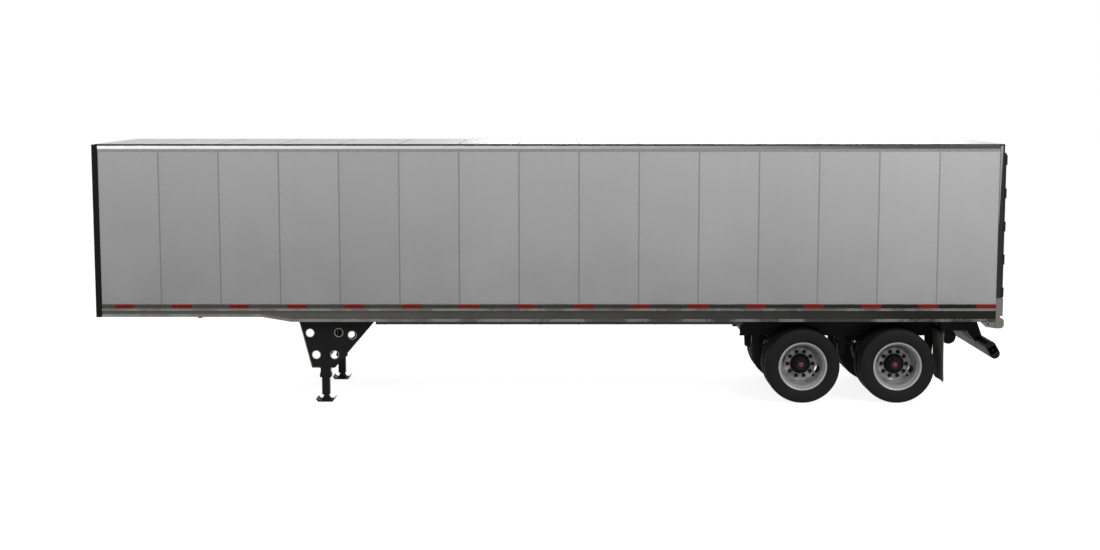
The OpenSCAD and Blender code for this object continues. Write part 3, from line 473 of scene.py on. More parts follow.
def wall_finish_and_shade(colours):
    """Satin wall plates: each plate a little different in tone, with painted shade that darkens them
    towards the rail.
    """
    finish, tree, shader, place = new_finish("wall_plate_paint_and_shade")
    x = add_node(tree, "ShaderNodeSeparateXYZ", {0: place}).outputs[0]
    start = math_node(tree, "SUBTRACT", x, PLATES_LOW.x)
    index = math_node(tree, "FLOOR", math_node(tree, "DIVIDE", start, PLATE_PITCH))
    shade = add_node(
        tree, "ShaderNodeTexWhiteNoise", {"W": index}, noise_dimensions="1D"
    ).outputs[0]
    base = Vector(colours.wall)
    tone = blend_colours(tree, shade, base * 0.965, base * 1.03)
    # Painted shade: the plates darken towards the rail, in patches
    dust_and_shade_mask = effect(
        tree, "height_dust_and_shade",
        {"Vector": place, "Thick At": 1.3, "Gone At": 4.2, "Amount": 0.85, "Scale": 0.5},
    )["Mask"]
    tone = blend_colours(tree, dust_and_shade_mask, tone, base * 0.52)
    marks = effect(tree, "run_marks", {"Vector": place, "Scale": 5.0})["Mask"]
    tone = blend_colours(tree, math_node(tree, "MULTIPLY", marks, 0.10), tone, base * 0.7)
    tree.links.new(tone, shader.inputs["Base Color"])
    surface = effect(
        tree, "surface_grain", {"Vector": place, "Scale": 350.0, "Wave Scale": 1.1}
    )
    tree.links.new(ramp(tree, surface["Wave"], 0.3, 0.7, 0.36, 0.48), shader.inputs["Roughness"])
    height = math_node(
        tree, "ADD", math_node(tree, "MULTIPLY", surface["Wave"], 1.0),
        math_node(tree, "MULTIPLY", surface["Grain"], 0.03),
    )
    set_bump(tree, shader, height, 0.35, 0.004)
    shader.inputs["Specular IOR Level"].default_value = 0.3
    return finish


def rail_finish_and_shade(name, web, raised, lip):
    """Brushed rail with painted shade: the web and the lip darken from the nose towards the wheels, the
    ridge darkens less and stays lighter, the web is shaded under the ridge, and pale painted glints fleck
    the raised faces.

    Each pair holds the colour at the nose and the colour at the rear, before the grain.
    """
    finish, tree, shader, place = new_finish(name)
    axes = add_node(tree, "ShaderNodeSeparateXYZ", {0: place}).outputs
    surface = effect(
        tree, "surface_grain",
        {"Vector": place, "Stretch": (0.05, 1, 1), "Scale": 240.0, "Wave Scale": 1.2},
    )
    sway = math_node(tree, "MULTIPLY", surface["Wave"], 1.6)
    back = math_node(tree, "ADD", axes[0], sway)
    # Painted shade: the web darkens from the nose towards the rear, and more under the ridge
    tone = blend_colours(tree, ramp(tree, back, -4.5, 6.6), *web)
    shaded = ramp(tree, axes[2], RIDGE_LOW - 0.055, RIDGE_LOW, 0.0, 0.30)
    tone = blend_colours(tree, shaded, tone, Vector(web[1]) * 0.7)
    low_lip = ramp(tree, axes[2], RAIL_LOW.z + 0.118, RAIL_LOW.z + 0.122, 1.0, 0.0)
    # The lip and the ridge carry the same painted shade towards the rear
    edge = blend_colours(tree, ramp(tree, back, -7.5, 3.5), *lip)
    ridge = blend_colours(tree, ramp(tree, back, -6.0, 6.6), *raised)
    edge = blend_colours(tree, low_lip, ridge, edge)
    out = math_node(tree, "ABSOLUTE", axes[1])
    stands_out = ramp(tree, out, RAIL_FACE - 0.0018, RAIL_FACE - 0.0008)
    tone = blend_colours(tree, stands_out, tone, edge)
    # Painted glints: pale flecks on the raised faces
    painted_glints = effect(tree, "chips", {"Vector": place, "Scale": 55.0, "Share": 0.19})["Mask"]
    painted_glints = math_node(tree, "MULTIPLY", painted_glints, stands_out)
    tone = blend_colours(
        tree, math_node(tree, "MULTIPLY", painted_glints, 0.35), tone, linear(168, 168, 162)
    )
    marks = effect(tree, "run_marks", {"Vector": place, "Scale": 9.0})["Mask"]
    tone = blend_colours(
        tree, math_node(tree, "MULTIPLY", marks, 0.12), tone, Vector(web[1]) * 0.8
    )
    tree.links.new(tone, shader.inputs["Base Color"])
    tree.links.new(ramp(tree, surface["Wave"], 0.3, 0.7, 0.42, 0.6), shader.inputs["Roughness"])
    shader.inputs["Metallic"].default_value = 0.15
    shader.inputs["Specular IOR Level"].default_value = 0.15
    set_bump(tree, shader, surface["Grain"], 0.2, 0.0006)
    return finish


def top_rail_finish_and_reflection(colours):
    """Rolled top rail: a painted reflection makes its belly bright at the nose and dull towards the rear,
    and a painted shade darkens its top shoulder.
    """
    finish, tree, shader, place = new_finish("top_rail_metal_and_reflection")
    axes = add_node(tree, "ShaderNodeSeparateXYZ", {0: place}).outputs
    surface = effect(
        tree, "surface_grain",
        {"Vector": place, "Stretch": (0.10, 1, 1), "Scale": 90.0, "Wave Scale": 2.5},
    )
    sway = math_node(tree, "MULTIPLY", surface["Wave"], 1.5)
    back = math_node(tree, "ADD", axes[0], sway)
    # Painted reflection along the belly: bright at the nose, dull towards the rear
    belly = blend_colours(
        tree, ramp(tree, back, -6.5, 1.0), (0.97, 0.97, 0.96), linear(184, 183, 180)
    )
    belly = blend_colours(tree, ramp(tree, back, 0.5, 6.0), belly, linear(68, 67, 65))
    lower = linear(136, 135, 132)
    z = math_node(tree, "ADD", axes[2], math_node(tree, "MULTIPLY", surface["Grain"], 0.012))
    upward = ramp(tree, z, TOP_LOW.z + 0.036, TOP_LOW.z + 0.058)
    tone = blend_colours(tree, upward, lower, belly)
    # Painted shade along the top shoulder
    shoulder = ramp(tree, z, TOP_HIGH.z - 0.026, TOP_HIGH.z - 0.016)
    tone = blend_colours(tree, shoulder, tone, linear(50, 49, 47))
    tree.links.new(tone, shader.inputs["Base Color"])
    tree.links.new(ramp(tree, surface["Wave"], 0.3, 0.7, 0.36, 0.55), shader.inputs["Roughness"])
    shader.inputs["Metallic"].default_value = 0.35
    shader.inputs["Specular IOR Level"].default_value = 0.2
    set_bump(tree, shader, surface["Grain"], 0.25, 0.0008)
    return finish


def tape_finish(colours):
    """Prismatic reflective tape: small cells with pale sealed lines between them."""
    finish, tree, shader, place = new_finish("reflective_tape")
    cells = add_node(
        tree, "ShaderNodeTexVoronoi", {"Vector": place, "Scale": 160.0},
        feature="DISTANCE_TO_EDGE",
    ).outputs[0]
    line = ramp(tree, cells, 0.02, 0.10, 1.0, 0.0)
    base = Vector(colours.tape)
    tone = blend_colours(tree, math_node(tree, "MULTIPLY", line, 0.3), base, base * 1.5)
    dust_and_shade_mask = effect(
        tree, "height_dust_and_shade",
        {"Vector": place, "Thick At": 1.2, "Gone At": 2.2, "Amount": 0.25, "Scale": 9.0},
    )["Mask"]
    tone = blend_colours(tree, dust_and_shade_mask, tone, linear(70, 40, 38))
    tree.links.new(tone, shader.inputs["Base Color"])
    tree.links.new(ramp(tree, dust_and_shade_mask, 0.0, 0.4, 0.28, 0.5), shader.inputs["Roughness"])
    set_bump(tree, shader, cells, 0.3, 0.0008)
    shader.inputs["Specular IOR Level"].default_value = 0.12
    return finish


def wood_finish(colours):
    """Laminated hardwood floor: long staves of slightly different tone."""
    finish, tree, shader, place = new_finish("laminated_floor")
    axes = add_node(tree, "ShaderNodeSeparateXYZ", {0: place}).outputs
    stave = math_node(tree, "FLOOR", math_node(tree, "MULTIPLY", axes[1], 38.0))
    shade = add_node(
        tree, "ShaderNodeTexWhiteNoise", {"W": stave}, noise_dimensions="1D"
    ).outputs[0]
    surface = effect(
        tree, "surface_grain", {"Vector": place, "Stretch": (0.05, 1, 1), "Scale": 140.0}
    )
    base = Vector(colours.wood)
    tone = blend_colours(tree, shade, base * 0.72, base * 1.12)
    vein = ramp(tree, surface["Grain"], 0.35, 0.65)
    tone = blend_colours(tree, math_node(tree, "MULTIPLY", vein, 0.4), tone, base * 0.45)
    tree.links.new(tone, shader.inputs["Base Color"])
    tree.links.new(ramp(tree, surface["Wave"], 0.3, 0.7, 0.45, 0.7), shader.inputs["Roughness"])
    set_bump(tree, shader, surface["Grain"], 0.3, 0.001)
    return finish


def rim_finish_and_shade(colours):
    """Polished rim: fine turning marks, and hollows darker deeper in the wheel, partly brake dust and
    partly painted shade.
    """
    finish, tree, shader, place = new_finish("polished_rim_metal_and_shade")
    surface = effect(
        tree, "surface_grain", {"Vector": place, "Scale": 320.0, "Wave Scale": 9.0}
    )
    axes = add_node(tree, "ShaderNodeSeparateXYZ", {0: place}).outputs
    out = math_node(tree, "ABSOLUTE", axes[1])
    # Darker deeper in the wheel: partly brake dust, partly painted shade in the hollows
    deep = ramp(tree, out, 0.975, 1.26, 0.74, 0.26)
    cloud = ramp(tree, surface["Wave"], 0.3, 0.7, 0.6, 1.2)
    dust = math_node(tree, "MULTIPLY", deep, cloud, clamp=True)
    base = Vector(colours.rim)
    tone = blend_colours(tree, dust, base, base * 0.22)
    tree.links.new(tone, shader.inputs["Base Color"])
    tree.links.new(ramp(tree, dust, 0.0, 0.7, 0.22, 0.42), shader.inputs["Roughness"])
    shader.inputs["Metallic"].default_value = 0.28
    shader.inputs["Specular IOR Level"].default_value = 0.3
    set_bump(tree, shader, surface["Grain"], 0.12, 0.0004)
    return finish


def lens_finish(colours):
    """Moulded lamp lens with fine prisms."""
    finish, tree, shader, place = new_finish("lamp_lens")
    wave = add_node(
        tree, "ShaderNodeTexWave", {"Vector": place, "Scale": 60.0, "Distortion": 0.4},
        bands_direction="Y",
    ).outputs[1]
    base = Vector(colours.lens)
    tree.links.new(
        blend_colours(tree, wave, base * 0.7, base * 1.25), shader.inputs["Base Color"]
    )
    tree.links.new(ramp(tree, wave, 0.0, 1.0, 0.10, 0.2), shader.inputs["Roughness"])
    shader.inputs["Coat Weight"].default_value = 0.5
    set_bump(tree, shader, wave, 0.4, 0.001)
    return finish


def rubber_finish(name, base, dust):
    """Tyre or flap rubber with a dusty bloom."""
    return worn_finish(
        name, base, linear(74, 70, 65), (0.62, 0.85), dust=dust, grain=(420.0, 0.35), shine=0.10
    )


def paint_finish(name, base, dust=(0.0, 1.6, 0.16), chips=0.0, rough=(0.42, 0.66)):
    """Chassis paint with dust and a few chips."""
    return worn_finish(
        name, base, linear(62, 59, 55), rough, dust=dust, grain=(260.0, 0.2), chips=chips,
        shine=0.10,
    )


FINISHES = {
    "wall": wall_finish_and_shade,
    # The rear colour of each pair is painted shade
    "rail": lambda c: rail_finish_and_shade(
        "bottom_rail_metal_shade_and_glints", (c.rail, c.rail_rear_shade), (linear(116, 115, 110), linear(80, 80, 77)),
        (linear(134, 133, 128), linear(56, 56, 54)),
    ),
    "top_rail": top_rail_finish_and_reflection,
    # Darker towards the rail with the same painted shade as the wall plates
    "seam": lambda c: worn_finish(
        "seam_strip_metal_and_shade", c.seam, Vector(c.seam) * 0.6, (0.4, 0.6),
        dust=(1.4, 4.0, 0.6), grain=(300.0, 0.2), runs=0.3,
    ),
    # Darker towards the rail with the same painted shade as the wall plates
    "rivet": lambda c: worn_finish(
        "wall_rivet_paint_and_shade", Vector(c.wall) * 0.80, Vector(c.wall) * 0.45, (0.4, 0.55),
        dust=(1.3, 4.2, 0.8), grain=(300.0, 0.1),
    ),
    "inner": lambda c: worn_finish(
        "inner_aluminium_metal", linear(176, 176, 174), linear(120, 118, 114), (0.4, 0.62),
        metallic=0.4, dust=(1.3, 3.0, 0.3), stretch=(1, 1, 0.05), grain=(220.0, 0.2),
    ),
    "roof": lambda c: worn_finish(
        "roof_skin_metal", linear(198, 198, 197), linear(168, 167, 164), (0.32, 0.48),
        dust=(2.0, 6.0, 0.4), grain=(160.0, 0.10), shine=0.5,
    ),
    "tape": tape_finish,
    # Painted shade: the dark lining in the groove, darkening further towards the rear
    "groove": lambda c: rail_finish_and_shade(
        "rail_groove_painted_shade", (linear(82, 81, 76), linear(15, 15, 14)),
        (c.rail, c.rail_rear_shade), (c.rail, c.rail_rear_shade),
    ),
    # Dark grey standing for shaded structure under the floor: painted shade
    "trough": lambda c: paint_finish("cable_trough_shade_grey", linear(56, 55, 53)),
    # Black standing for the shade of the rounded front corners: painted shade; also the underride guard's
    # black paint
    "black_paint_and_nose_shade": lambda c: paint_finish("black_paint_and_corner_shade", linear(9, 9, 10)),
    "black": lambda c: paint_finish("chassis_black", c.black),
    "post": lambda c: paint_finish("post_grey_paint", c.post, dust=(1.0, 3.0, 0.2)),
    "steel": lambda c: worn_finish(
        "galvanised_steel", c.steel, linear(84, 80, 74), (0.45, 0.66), metallic=0.1,
        dust=(1.0, 1.9, 0.3), grain=(90.0, 0.25), runs=0.2,
    ),
    "floor_steel": lambda c: paint_finish(
        "floor_frame_paint", linear(26, 26, 26), dust=(0.9, 1.5, 0.2)
    ),
    "door": lambda c: worn_finish(
        "door_skin_paint", linear(186, 186, 186), linear(130, 127, 122), (0.3, 0.48),
        dust=(1.2, 3.4, 0.55), grain=(330.0, 0.12), runs=0.25,
    ),
    "hardware": lambda c: worn_finish(
        "zinc_hardware", linear(120, 120, 118), linear(80, 76, 70), (0.34, 0.58), metallic=0.5,
        dust=(1.0, 3.0, 0.35), grain=(240.0, 0.2),
    ),
    "tyre": lambda c: rubber_finish("tyre_rubber_black", c.rubber, (-0.1, 0.6, 0.10)),
    "flap": lambda c: rubber_finish("flap_rubber_grey", linear(108, 107, 105), (0.2, 1.2, 0.3)),
    "gasket": lambda c: rubber_finish("gasket_rubber", c.rubber, (1.0, 2.0, 0.2)),
    "rim": rim_finish_and_shade,
    "hub": lambda c: paint_finish("hub_black_paint", c.hub, dust=(0.3, 0.9, 0.12)),
    "plug": lambda c: worn_finish(
        "hub_plug_plastic", c.plug, Vector(c.plug) * 0.5, (0.25, 0.4), dust=(0.3, 0.8, 0.2),
        grain=(500.0, 0.1), coat=0.3,
    ),
    "wood": wood_finish,
    "lens": lens_finish,
    # Pale metal that paints highlights on the gusset edges and hole rims
    "edge_highlight": lambda c: worn_finish(
        "edge_highlight_metal", linear(158, 157, 154), linear(90, 88, 84), (0.4, 0.6),
        metallic=0.2, dust=(0.2, 1.4, 0.3), grain=(200.0, 0.3),
    ),
}
made_finishes = {}


def finish_for(name):
    """The named finish, built once."""
    if name not in made_finishes:
        made_finishes[name] = FINISHES[name](bpy.context.scene.trailer_colours)
    return made_finishes[name]


CAD_FINISHES = {
    "wall": ["left_side_panels", "right_side_panels", "front_wall_panels"],
    "rail": ["left_bottom_rail", "right_bottom_rail"],
    "top_rail": ["left_top_rail", "right_top_rail"],
    "inner": ["left_wall_posts", "right_wall_posts", "roof_bows", "front_wall_posts"],
    "roof": ["roof_sheet"],
    "wood": ["floor_boards"],
    "floor_steel": ["floor_crossmembers", "slider_body_rails", "upper_coupler"],
    "post": ["left_rear_post", "right_rear_post", "nose_service_box", "left_door_hinges",
             "right_door_hinges"],
    # Painted shade on the front corner posts; black paint on the underride guard
    "black_paint_and_nose_shade": ["front_corner_posts", "underride_guard"],
    "steel": ["rear_sill", "dock_bumpers", "kingpin"],
    "door": ["left_rear_door", "right_rear_door", "rear_header"],
    "hardware": ["left_lock_rods", "right_lock_rods"],
    "black": [
        "left_landing_leg", "right_landing_leg", "left_landing_gusset", "right_landing_gusset",
        "landing_gear_brace", "landing_gear_crank", "bogie_frame",
        "spring_hangers", "leaf_springs", "front_axle", "rear_axle", "brake_chambers",
        "mud_flap_bracket", "air_tank",
    ],
}


# --- Operators ----------------------------------------------------------------------------------


class BuildStep:
    """What every operator of the trailer shares."""

    bl_options = {"REGISTER", "UNDO"}


class TRAILER_OT_frame_finishes(BuildStep, bpy.types.Operator):
    """Gives each carried-over frame piece its finish"""

    bl_idname = "trailer.frame_finishes"
    bl_label = "Frame Finishes"

    def execute(self, context):
        for name, nodes in CAD_FINISHES.items():
            for node in nodes:
                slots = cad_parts[node].material_slots
                for slot in slots:
                    slot.material = finish_for(name)
        return {"FINISHED"}


class TRAILER_OT_reflective_strips(BuildStep, bpy.types.Operator):
    """Lays the red reflective strips in the groove of each bottom rail"""

    bl_idname = "trailer.reflective_strips"
    bl_label = "Reflective Strips"

    def execute(self, context):
        sizes = context.scene.trailer_sizes
        middle_z = (RIDGE_HIGH + LAND_HIGH) / 2
        for name, side in SIDES.items():
            strips = bmesh.new()
            shade_lining = bmesh.new()
            for i in range(sizes.strip_count):
                x = PLATES_LOW.x + sizes.strip_first + i * sizes.strip_pitch
                half = sizes.strip_length / 2
                add_box(
                    strips,
                    (max(x - half, RAIL_LOW.x + 0.01), side * LAND_FACE,
                     middle_z - sizes.strip_height / 2),
                    (min(x + half, RAIL_HIGH.x - 0.01), side * (LAND_FACE + 0.0016),
                     middle_z + sizes.strip_height / 2),
                    0.0006,
                )
            # A dark lining along the groove: painted shade
            add_box(
                shade_lining, (RAIL_LOW.x + 0.004, side * LAND_FACE, RIDGE_HIGH + 0.0005),
                (RAIL_HIGH.x - 0.004, side * (LAND_FACE + 0.0006), LAND_HIGH - 0.0005), 0.0002,
            )
            make_piece(
                f"{name}_reflective_strips", strips, finish_for("tape"), "trailer_body",
            )
            make_piece(
                f"{name}_groove_shade_lining", shade_lining, finish_for("groove"), "trailer_body",
            )
        return {"FINISHED"}


class TRAILER_OT_wall_seams(BuildStep, bpy.types.Operator):
    """Covers the plate seams and rivets them to the posts inside"""

    bl_idname = "trailer.wall_seams"
    bl_label = "Seams and Rivets"

    def execute(self, context):
        sizes = context.scene.trailer_sizes
        low_z = RAIL_HIGH.z + 0.002
        high_z = TOP_LOW.z - 0.002
        half = sizes.seam_width / 2
        for name, side in SIDES.items():
            strips = bmesh.new()
            rivets = bmesh.new()
            for i in range(1, PLATE_COUNT):
                x = PLATES_LOW.x + i * PLATE_PITCH
                add_box(
                    strips, (x - half, side * PLATE_FACE, low_z),
                    (x + half, side * (PLATE_FACE + 0.0012), high_z), 0.0005,
                )
                for z in along(low_z + 0.05, high_z - 0.05, sizes.rivet_pitch):
                    for dx in (-0.055, 0.055):
                        add_peg(
                            rivets, (x + dx, side * PLATE_FACE, z), (0, side, 0),
                            sizes.rivet_radius, 0.0028, 6, sizes.rivet_radius * 0.55,
                        )
            for x in along(PLATES_LOW.x + 0.03, PLATES_HIGH.x - 0.03, 0.12):
                for z in (low_z + 0.018, high_z - 0.018):
                    add_peg(
                        rivets, (x, side * PLATE_FACE, z), (0, side, 0),
                        sizes.rivet_radius * 0.8, 0.0022, 6, sizes.rivet_radius * 0.45,
                    )
            make_piece(
                f"{name}_seam_strips", strips, finish_for("seam"), "trailer_body"
            )
            make_piece(
                f"{name}_wall_rivets", rivets, finish_for("rivet"), "trailer_body"
            )
        return {"FINISHED"}


class TRAILER_OT_rail_trim(BuildStep, bpy.types.Operator):
    """Adds rivets, splice plates and end trims along the rails"""

    bl_idname = "trailer.rail_trim"
    bl_label = "Rail Trim"

    def execute(self, context):
        web_middle = (RAIL_LOW.z + 0.044 + RIDGE_LOW) / 2
        for name, side in SIDES.items():
            rivets = bmesh.new()
            for x in along(RAIL_LOW.x + 0.05, RAIL_HIGH.x - 0.05, 0.153):
                add_peg(
                    rivets, (x, side * RAIL_FACE, (RIDGE_LOW + RIDGE_HIGH) / 2),
                    (0, side, 0), 0.008, 0.004, 8, 0.0045,
                )
                add_peg(
                    rivets, (x + 0.04, side * (RAIL_FACE - 0.003), TOP_LOW.z + 0.018),
                    (0, side, 0), 0.007, 0.003, 6, 0.004,
                )
            for x in along(RAIL_LOW.x + 2.9, RAIL_HIGH.x - 0.1, 0.305):
                for dx in (-0.02, 0.02):
                    add_peg(
                        rivets, (x + dx, side * WEB_FACE, web_middle), (0, side, 0),
                        0.009, 0.004, 6, 0.006,
                    )
            make_piece(
                f"{name}_rail_rivets", rivets, finish_for("rail"), "trailer_body",
            )
            plates = bmesh.new()
            for x, z0 in ((6.18, RAIL_LOW.z + 0.046), (-1.2, RAIL_LOW.z + 0.046)):
                add_box(
                    plates, (x - 0.012, side * WEB_FACE, z0),
                    (x + 0.012, side * (WEB_FACE + 0.003), RIDGE_LOW - 0.002), 0.001,
                )
            make_piece(
                f"{name}_rail_splices", plates, finish_for("rail"), "trailer_body",
            )
            wedge = bmesh.new()
            z0, z1 = 2.75, HEADER_HIGH.z - 0.028
            add_box(
                wedge, (PLATES_HIGH.x + 0.001, side * RAIL_FACE, z0),
                (PLATES_HIGH.x + 0.040, side * (RAIL_FACE + 0.0012), z1),
            )
            for v in wedge.verts:
                if v.co.z < z0 + 0.01:
                    v.co.x = PLATES_HIGH.x + 0.001 + 0.1 * (v.co.x - PLATES_HIGH.x)
            make_piece(
                f"{name}_post_moulding", wedge, finish_for("seam"), "trailer_body"
            )
            # A dark trough under the lip, standing for the shaded structure under the floor: painted shade
            trough = bmesh.new()
            x0, x1 = GUSSET_HIGH.x + 0.005, 2.95
            top = RAIL_LOW.z - 0.0005
            add_box(
                trough, (x0, side * 1.240, top - 0.042), (x1, side * 1.284, top), 0.006, 2
            )
            for x in along(x0 + 0.15, x1 - 0.15, 0.61):
                add_box(
                    trough, (x - 0.012, side * 1.238, top - 0.044),
                    (x + 0.012, side * 1.2865, top), 0.002,
                )
            make_piece(
                f"{name}_trough_shade_strip", trough, finish_for("trough"), "trailer_body",
            )
        return {"FINISHED"}


class TRAILER_OT_nose_corner_shades(BuildStep, bpy.types.Operator):
    """Wraps a black strip round each front corner: painted shade of the rounded corner"""

    bl_idname = "trailer.nose_guards"
    bl_label = "Nose Guards"

    def execute(self, context):
        nose = POST_FRONT - 0.026
        for name, side in SIDES.items():
            guard = bmesh.new()
            low, high = RAIL_LOW_FRONT - 0.004, ROOF_HIGH.z - 0.008
            # A black strip round the corner: painted shade of the rounded front corner
            add_box(
                guard, (nose, side * 1.2750, low), (PLATES_LOW.x - 0.010, side * 1.2970, high),
                0.004, 2,
            )
            add_box(
                guard, (nose, side * 1.2200, low), (POST_FRONT - 0.0005, side * 1.2750, high),
                0.004, 2,
            )
            for z in along(low + 0.06, high - 0.06, 0.16):
                add_peg(
                    guard, ((nose + PLATES_LOW.x) / 2, side * 1.2970, z), (0, side, 0),
                    0.007, 0.003, 6, 0.004,
                )
                add_peg(guard, (nose, side * 1.2475, z), (-1, 0, 0), 0.007, 0.003, 6, 0.004)
            make_piece(
                f"{name}_nose_corner_shade", guard, finish_for("black_paint_and_nose_shade"), "trailer_body",
            )
        return {"FINISHED"}


class TRAILER_OT_roof_details(BuildStep, bpy.types.Operator):
    """Rivets the roof skin round its edges, and lays lap strips across it and seals along its sides"""

    bl_idname = "trailer.roof_details"
    bl_label = "Roof Details"

    def execute(self, context):
        rivets = bmesh.new()
        edge = ROOF_HIGH.y - 0.018
        for x in along(ROOF_LOW.x + 0.04, ROOF_HIGH.x - 0.04, 0.2):
            for y in (-edge, edge):
                add_peg(rivets, (x, y, ROOF_HIGH.z), (0, 0, 1), 0.008, 0.003, 6, 0.0045)
        for y in along(-edge + 0.1, edge - 0.1, 0.2):
            for x in (ROOF_LOW.x + 0.03, ROOF_HIGH.x - 0.03):
                add_peg(rivets, (x, y, ROOF_HIGH.z), (0, 0, 1), 0.008, 0.003, 6, 0.0045)
        make_piece("roof_rivets", rivets, finish_for("roof"), "trailer_body")
        laps = bmesh.new()
        for i in range(1, PLATE_COUNT):
            x = PLATES_LOW.x + i * PLATE_PITCH
            add_box(
                laps, (x - 0.014, ROOF_LOW.y + 0.02, ROOF_HIGH.z - 0.001),
                (x + 0.014, ROOF_HIGH.y - 0.02, ROOF_HIGH.z + 0.0016), 0.001,
            )
        make_piece("roof_laps", laps, finish_for("seam"), "trailer_body")
        seals = bmesh.new()
        for y in (-1, 1):
            add_box(
                seals, (ROOF_LOW.x, y * (ROOF_HIGH.y - 0.004), ROOF_HIGH.z - 0.001),
                (ROOF_HIGH.x, y * (ROOF_HIGH.y + 0.004), ROOF_HIGH.z + 0.0012), 0.001,
            )
        make_piece("roof_seals", seals, finish_for("gasket"), "trailer_body")
        return {"FINISHED"}


# Half section of a tyre: radius, distance from its middle plane
TREAD = [
    (0.5720, 0.000), (0.5718, 0.022), (0.5580, 0.0245), (0.5580, 0.0335), (0.5712, 0.036),
    (0.5692, 0.070), (0.5560, 0.0725), (0.5560, 0.0815), (0.5682, 0.084), (0.5655, 0.108),
    (0.5618, 0.1165), (0.5560, 0.1212),
]
SIDEWALL = [
    (0.5460, 0.1225), (0.5380, 0.1260), (0.5290, 0.1300), (0.5215, 0.1330), (0.5195, 0.1352),
    (0.5140, 0.1362), (0.5120, 0.1360), (0.5000, 0.1400), (0.4840, 0.1430), (0.4650, 0.1442),
    (0.4460, 0.1438), (0.4300, 0.1420), (0.4275, 0.1436), (0.4200, 0.1428), (0.4175, 0.1398),
    (0.4050, 0.1362), (0.3920, 0.1318), (0.3800, 0.1275), (0.3745, 0.1240), (0.3722, 0.1190),
    (0.3716, 0.1152), (0.3600, 0.1150), (0.3506, 0.1148),
]
INNER_WALL = [(0.3506, 0.1080), (0.3800, 0.1060), (0.4700, 0.1180), (0.5300, 0.1080), (0.5450, 0.0800)]


def tyre_profile():
    """Closed section of a tyre, both halves."""
    half = TREAD + SIDEWALL + INNER_WALL
    return half + [(r, -z) for r, z in reversed(half[1:])]


class TRAILER_OT_tyres(BuildStep, bpy.types.Operator):
    """Builds the ribbed tyres of each wheel pair"""

    bl_idname = "trailer.tyres"
    bl_label = "Tyres"

    def execute(self, context):
        notches = context.scene.trailer_sizes.rib_count
        for axle in AXLES:
            for side in SIDES:
                node = f"{axle}_{side}_tyres"
                low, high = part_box(node)
                pitch = (high.y - low.y) - 2 * 0.145
                bm = bmesh.new()
                for s in (-1, 1):
                    add_lathe(
                        bm, tyre_profile(), 2 * notches,
                        Matrix.Translation((0, 0, s * pitch / 2)),
                    )
                self.cut_notches(bm, notches)
                bmesh.ops.transform(bm, matrix=wheel_place(axle, side), verts=bm.verts)
                make_piece(
                    f"{axle}_{side}_ribbed_tyres", bm, finish_for("tyre"),
                    f"{axle}_{side}_wheel_pair", (node,), 32,
                )
        return {"FINISHED"}

    def cut_notches(self, bm, notches):
        """Sinks every other face of the shoulder ribs."""
        bmesh.ops.recalc_face_normals(bm, faces=bm.faces)
        found = []
        for face in bm.faces:
            centre = face.calc_center_median()
            radius = math.hypot(centre.x, centre.y)
            if 0.560 < radius < 0.5695 and face.calc_area() > 0.0003:
                turn = math.atan2(centre.y, centre.x) / FULL_TURN * 2 * notches
                if int(turn + 2 * notches) % 2 == 0:
                    found.append(face)
        bmesh.ops.inset_individual(bm, faces=found, thickness=0.004, depth=-0.005)


# Face of a rim: radius, distance from the seat face
RIM_FACE = [
    (0.3710, 0.3040), (0.3710, 0.3100), (0.3690, 0.3130), (0.3620, 0.3130), (0.3585, 0.3112),
    (0.3560, 0.3060), (0.3520, 0.3040), (0.3455, 0.3030), (0.3425, 0.2990), (0.3415, 0.2880),
    (0.3370, 0.2850), (0.3352, 0.2800), (0.3340, 0.2560), (0.3290, 0.2480), (0.3180, 0.2360),
    (0.3110, 0.2260), (0.3088, 0.2180), (0.3086, 0.1900), (0.3060, 0.1850), (0.3052, 0.1500),
    (0.3030, 0.1440), (0.3000, 0.1380), (0.2985, 0.1180), (0.2930, 0.1010), (0.2830, 0.0800),
    (0.2690, 0.0540), (0.2600, 0.0400), (0.2520, 0.0310), (0.2440, 0.0255), (0.2360, 0.0225),
    (0.2300, 0.0220), (0.1600, 0.0220), (0.1530, 0.0205), (0.1520, 0.0180), (0.1520, 0.0002),
]
# Back of the disc and outside of the barrel
RIM_BACK = [
    (0.2500, 0.0002), (0.2620, 0.0180), (0.2870, 0.0670), (0.2950, 0.1000), (0.3050, 0.1350),
    (0.3300, 0.1160), (0.3390, 0.0730), (0.3590, 0.0570), (0.3710, 0.0570), (0.3710, 0.0670),
    (0.3495, 0.0690), (0.3440, 0.1170), (0.3190, 0.1430), (0.3190, 0.2270), (0.3440, 0.2530),
    (0.3495, 0.3000),
]
RIM_STEPS = 144
HAND_HOLE_RADIUS = 0.269
HAND_HOLE_TURNS = (18, 198)
VALVE_TURN = 41


def hole_cutter(sizes):
    """A mesh that cuts the hand holes and the valve hole of a rim."""
    bm = bmesh.new()
    holes = [
        (turn, sizes.hand_hole_width / 2, sizes.hand_hole_length / 2) for turn in HAND_HOLE_TURNS
    ]
    holes.append((VALVE_TURN, 0.018, 0.020))
    for turn, across, around in holes:
        spot = Matrix.Rotation(math.radians(turn), 4, "Z") @ Matrix.Translation(
            (HAND_HOLE_RADIUS, 0, 0.045)
        )
        bmesh.ops.create_cone(
            bm, cap_ends=True, segments=32, radius1=1, radius2=1, depth=0.14,
            matrix=spot @ Matrix.Diagonal((across, around, 1, 1)),
        )
    mesh = bpy.data.meshes.new("hole_cutter")
    bm.to_mesh(mesh)
    bm.free()
    return bpy.data.objects.new("hole_cutter", mesh)


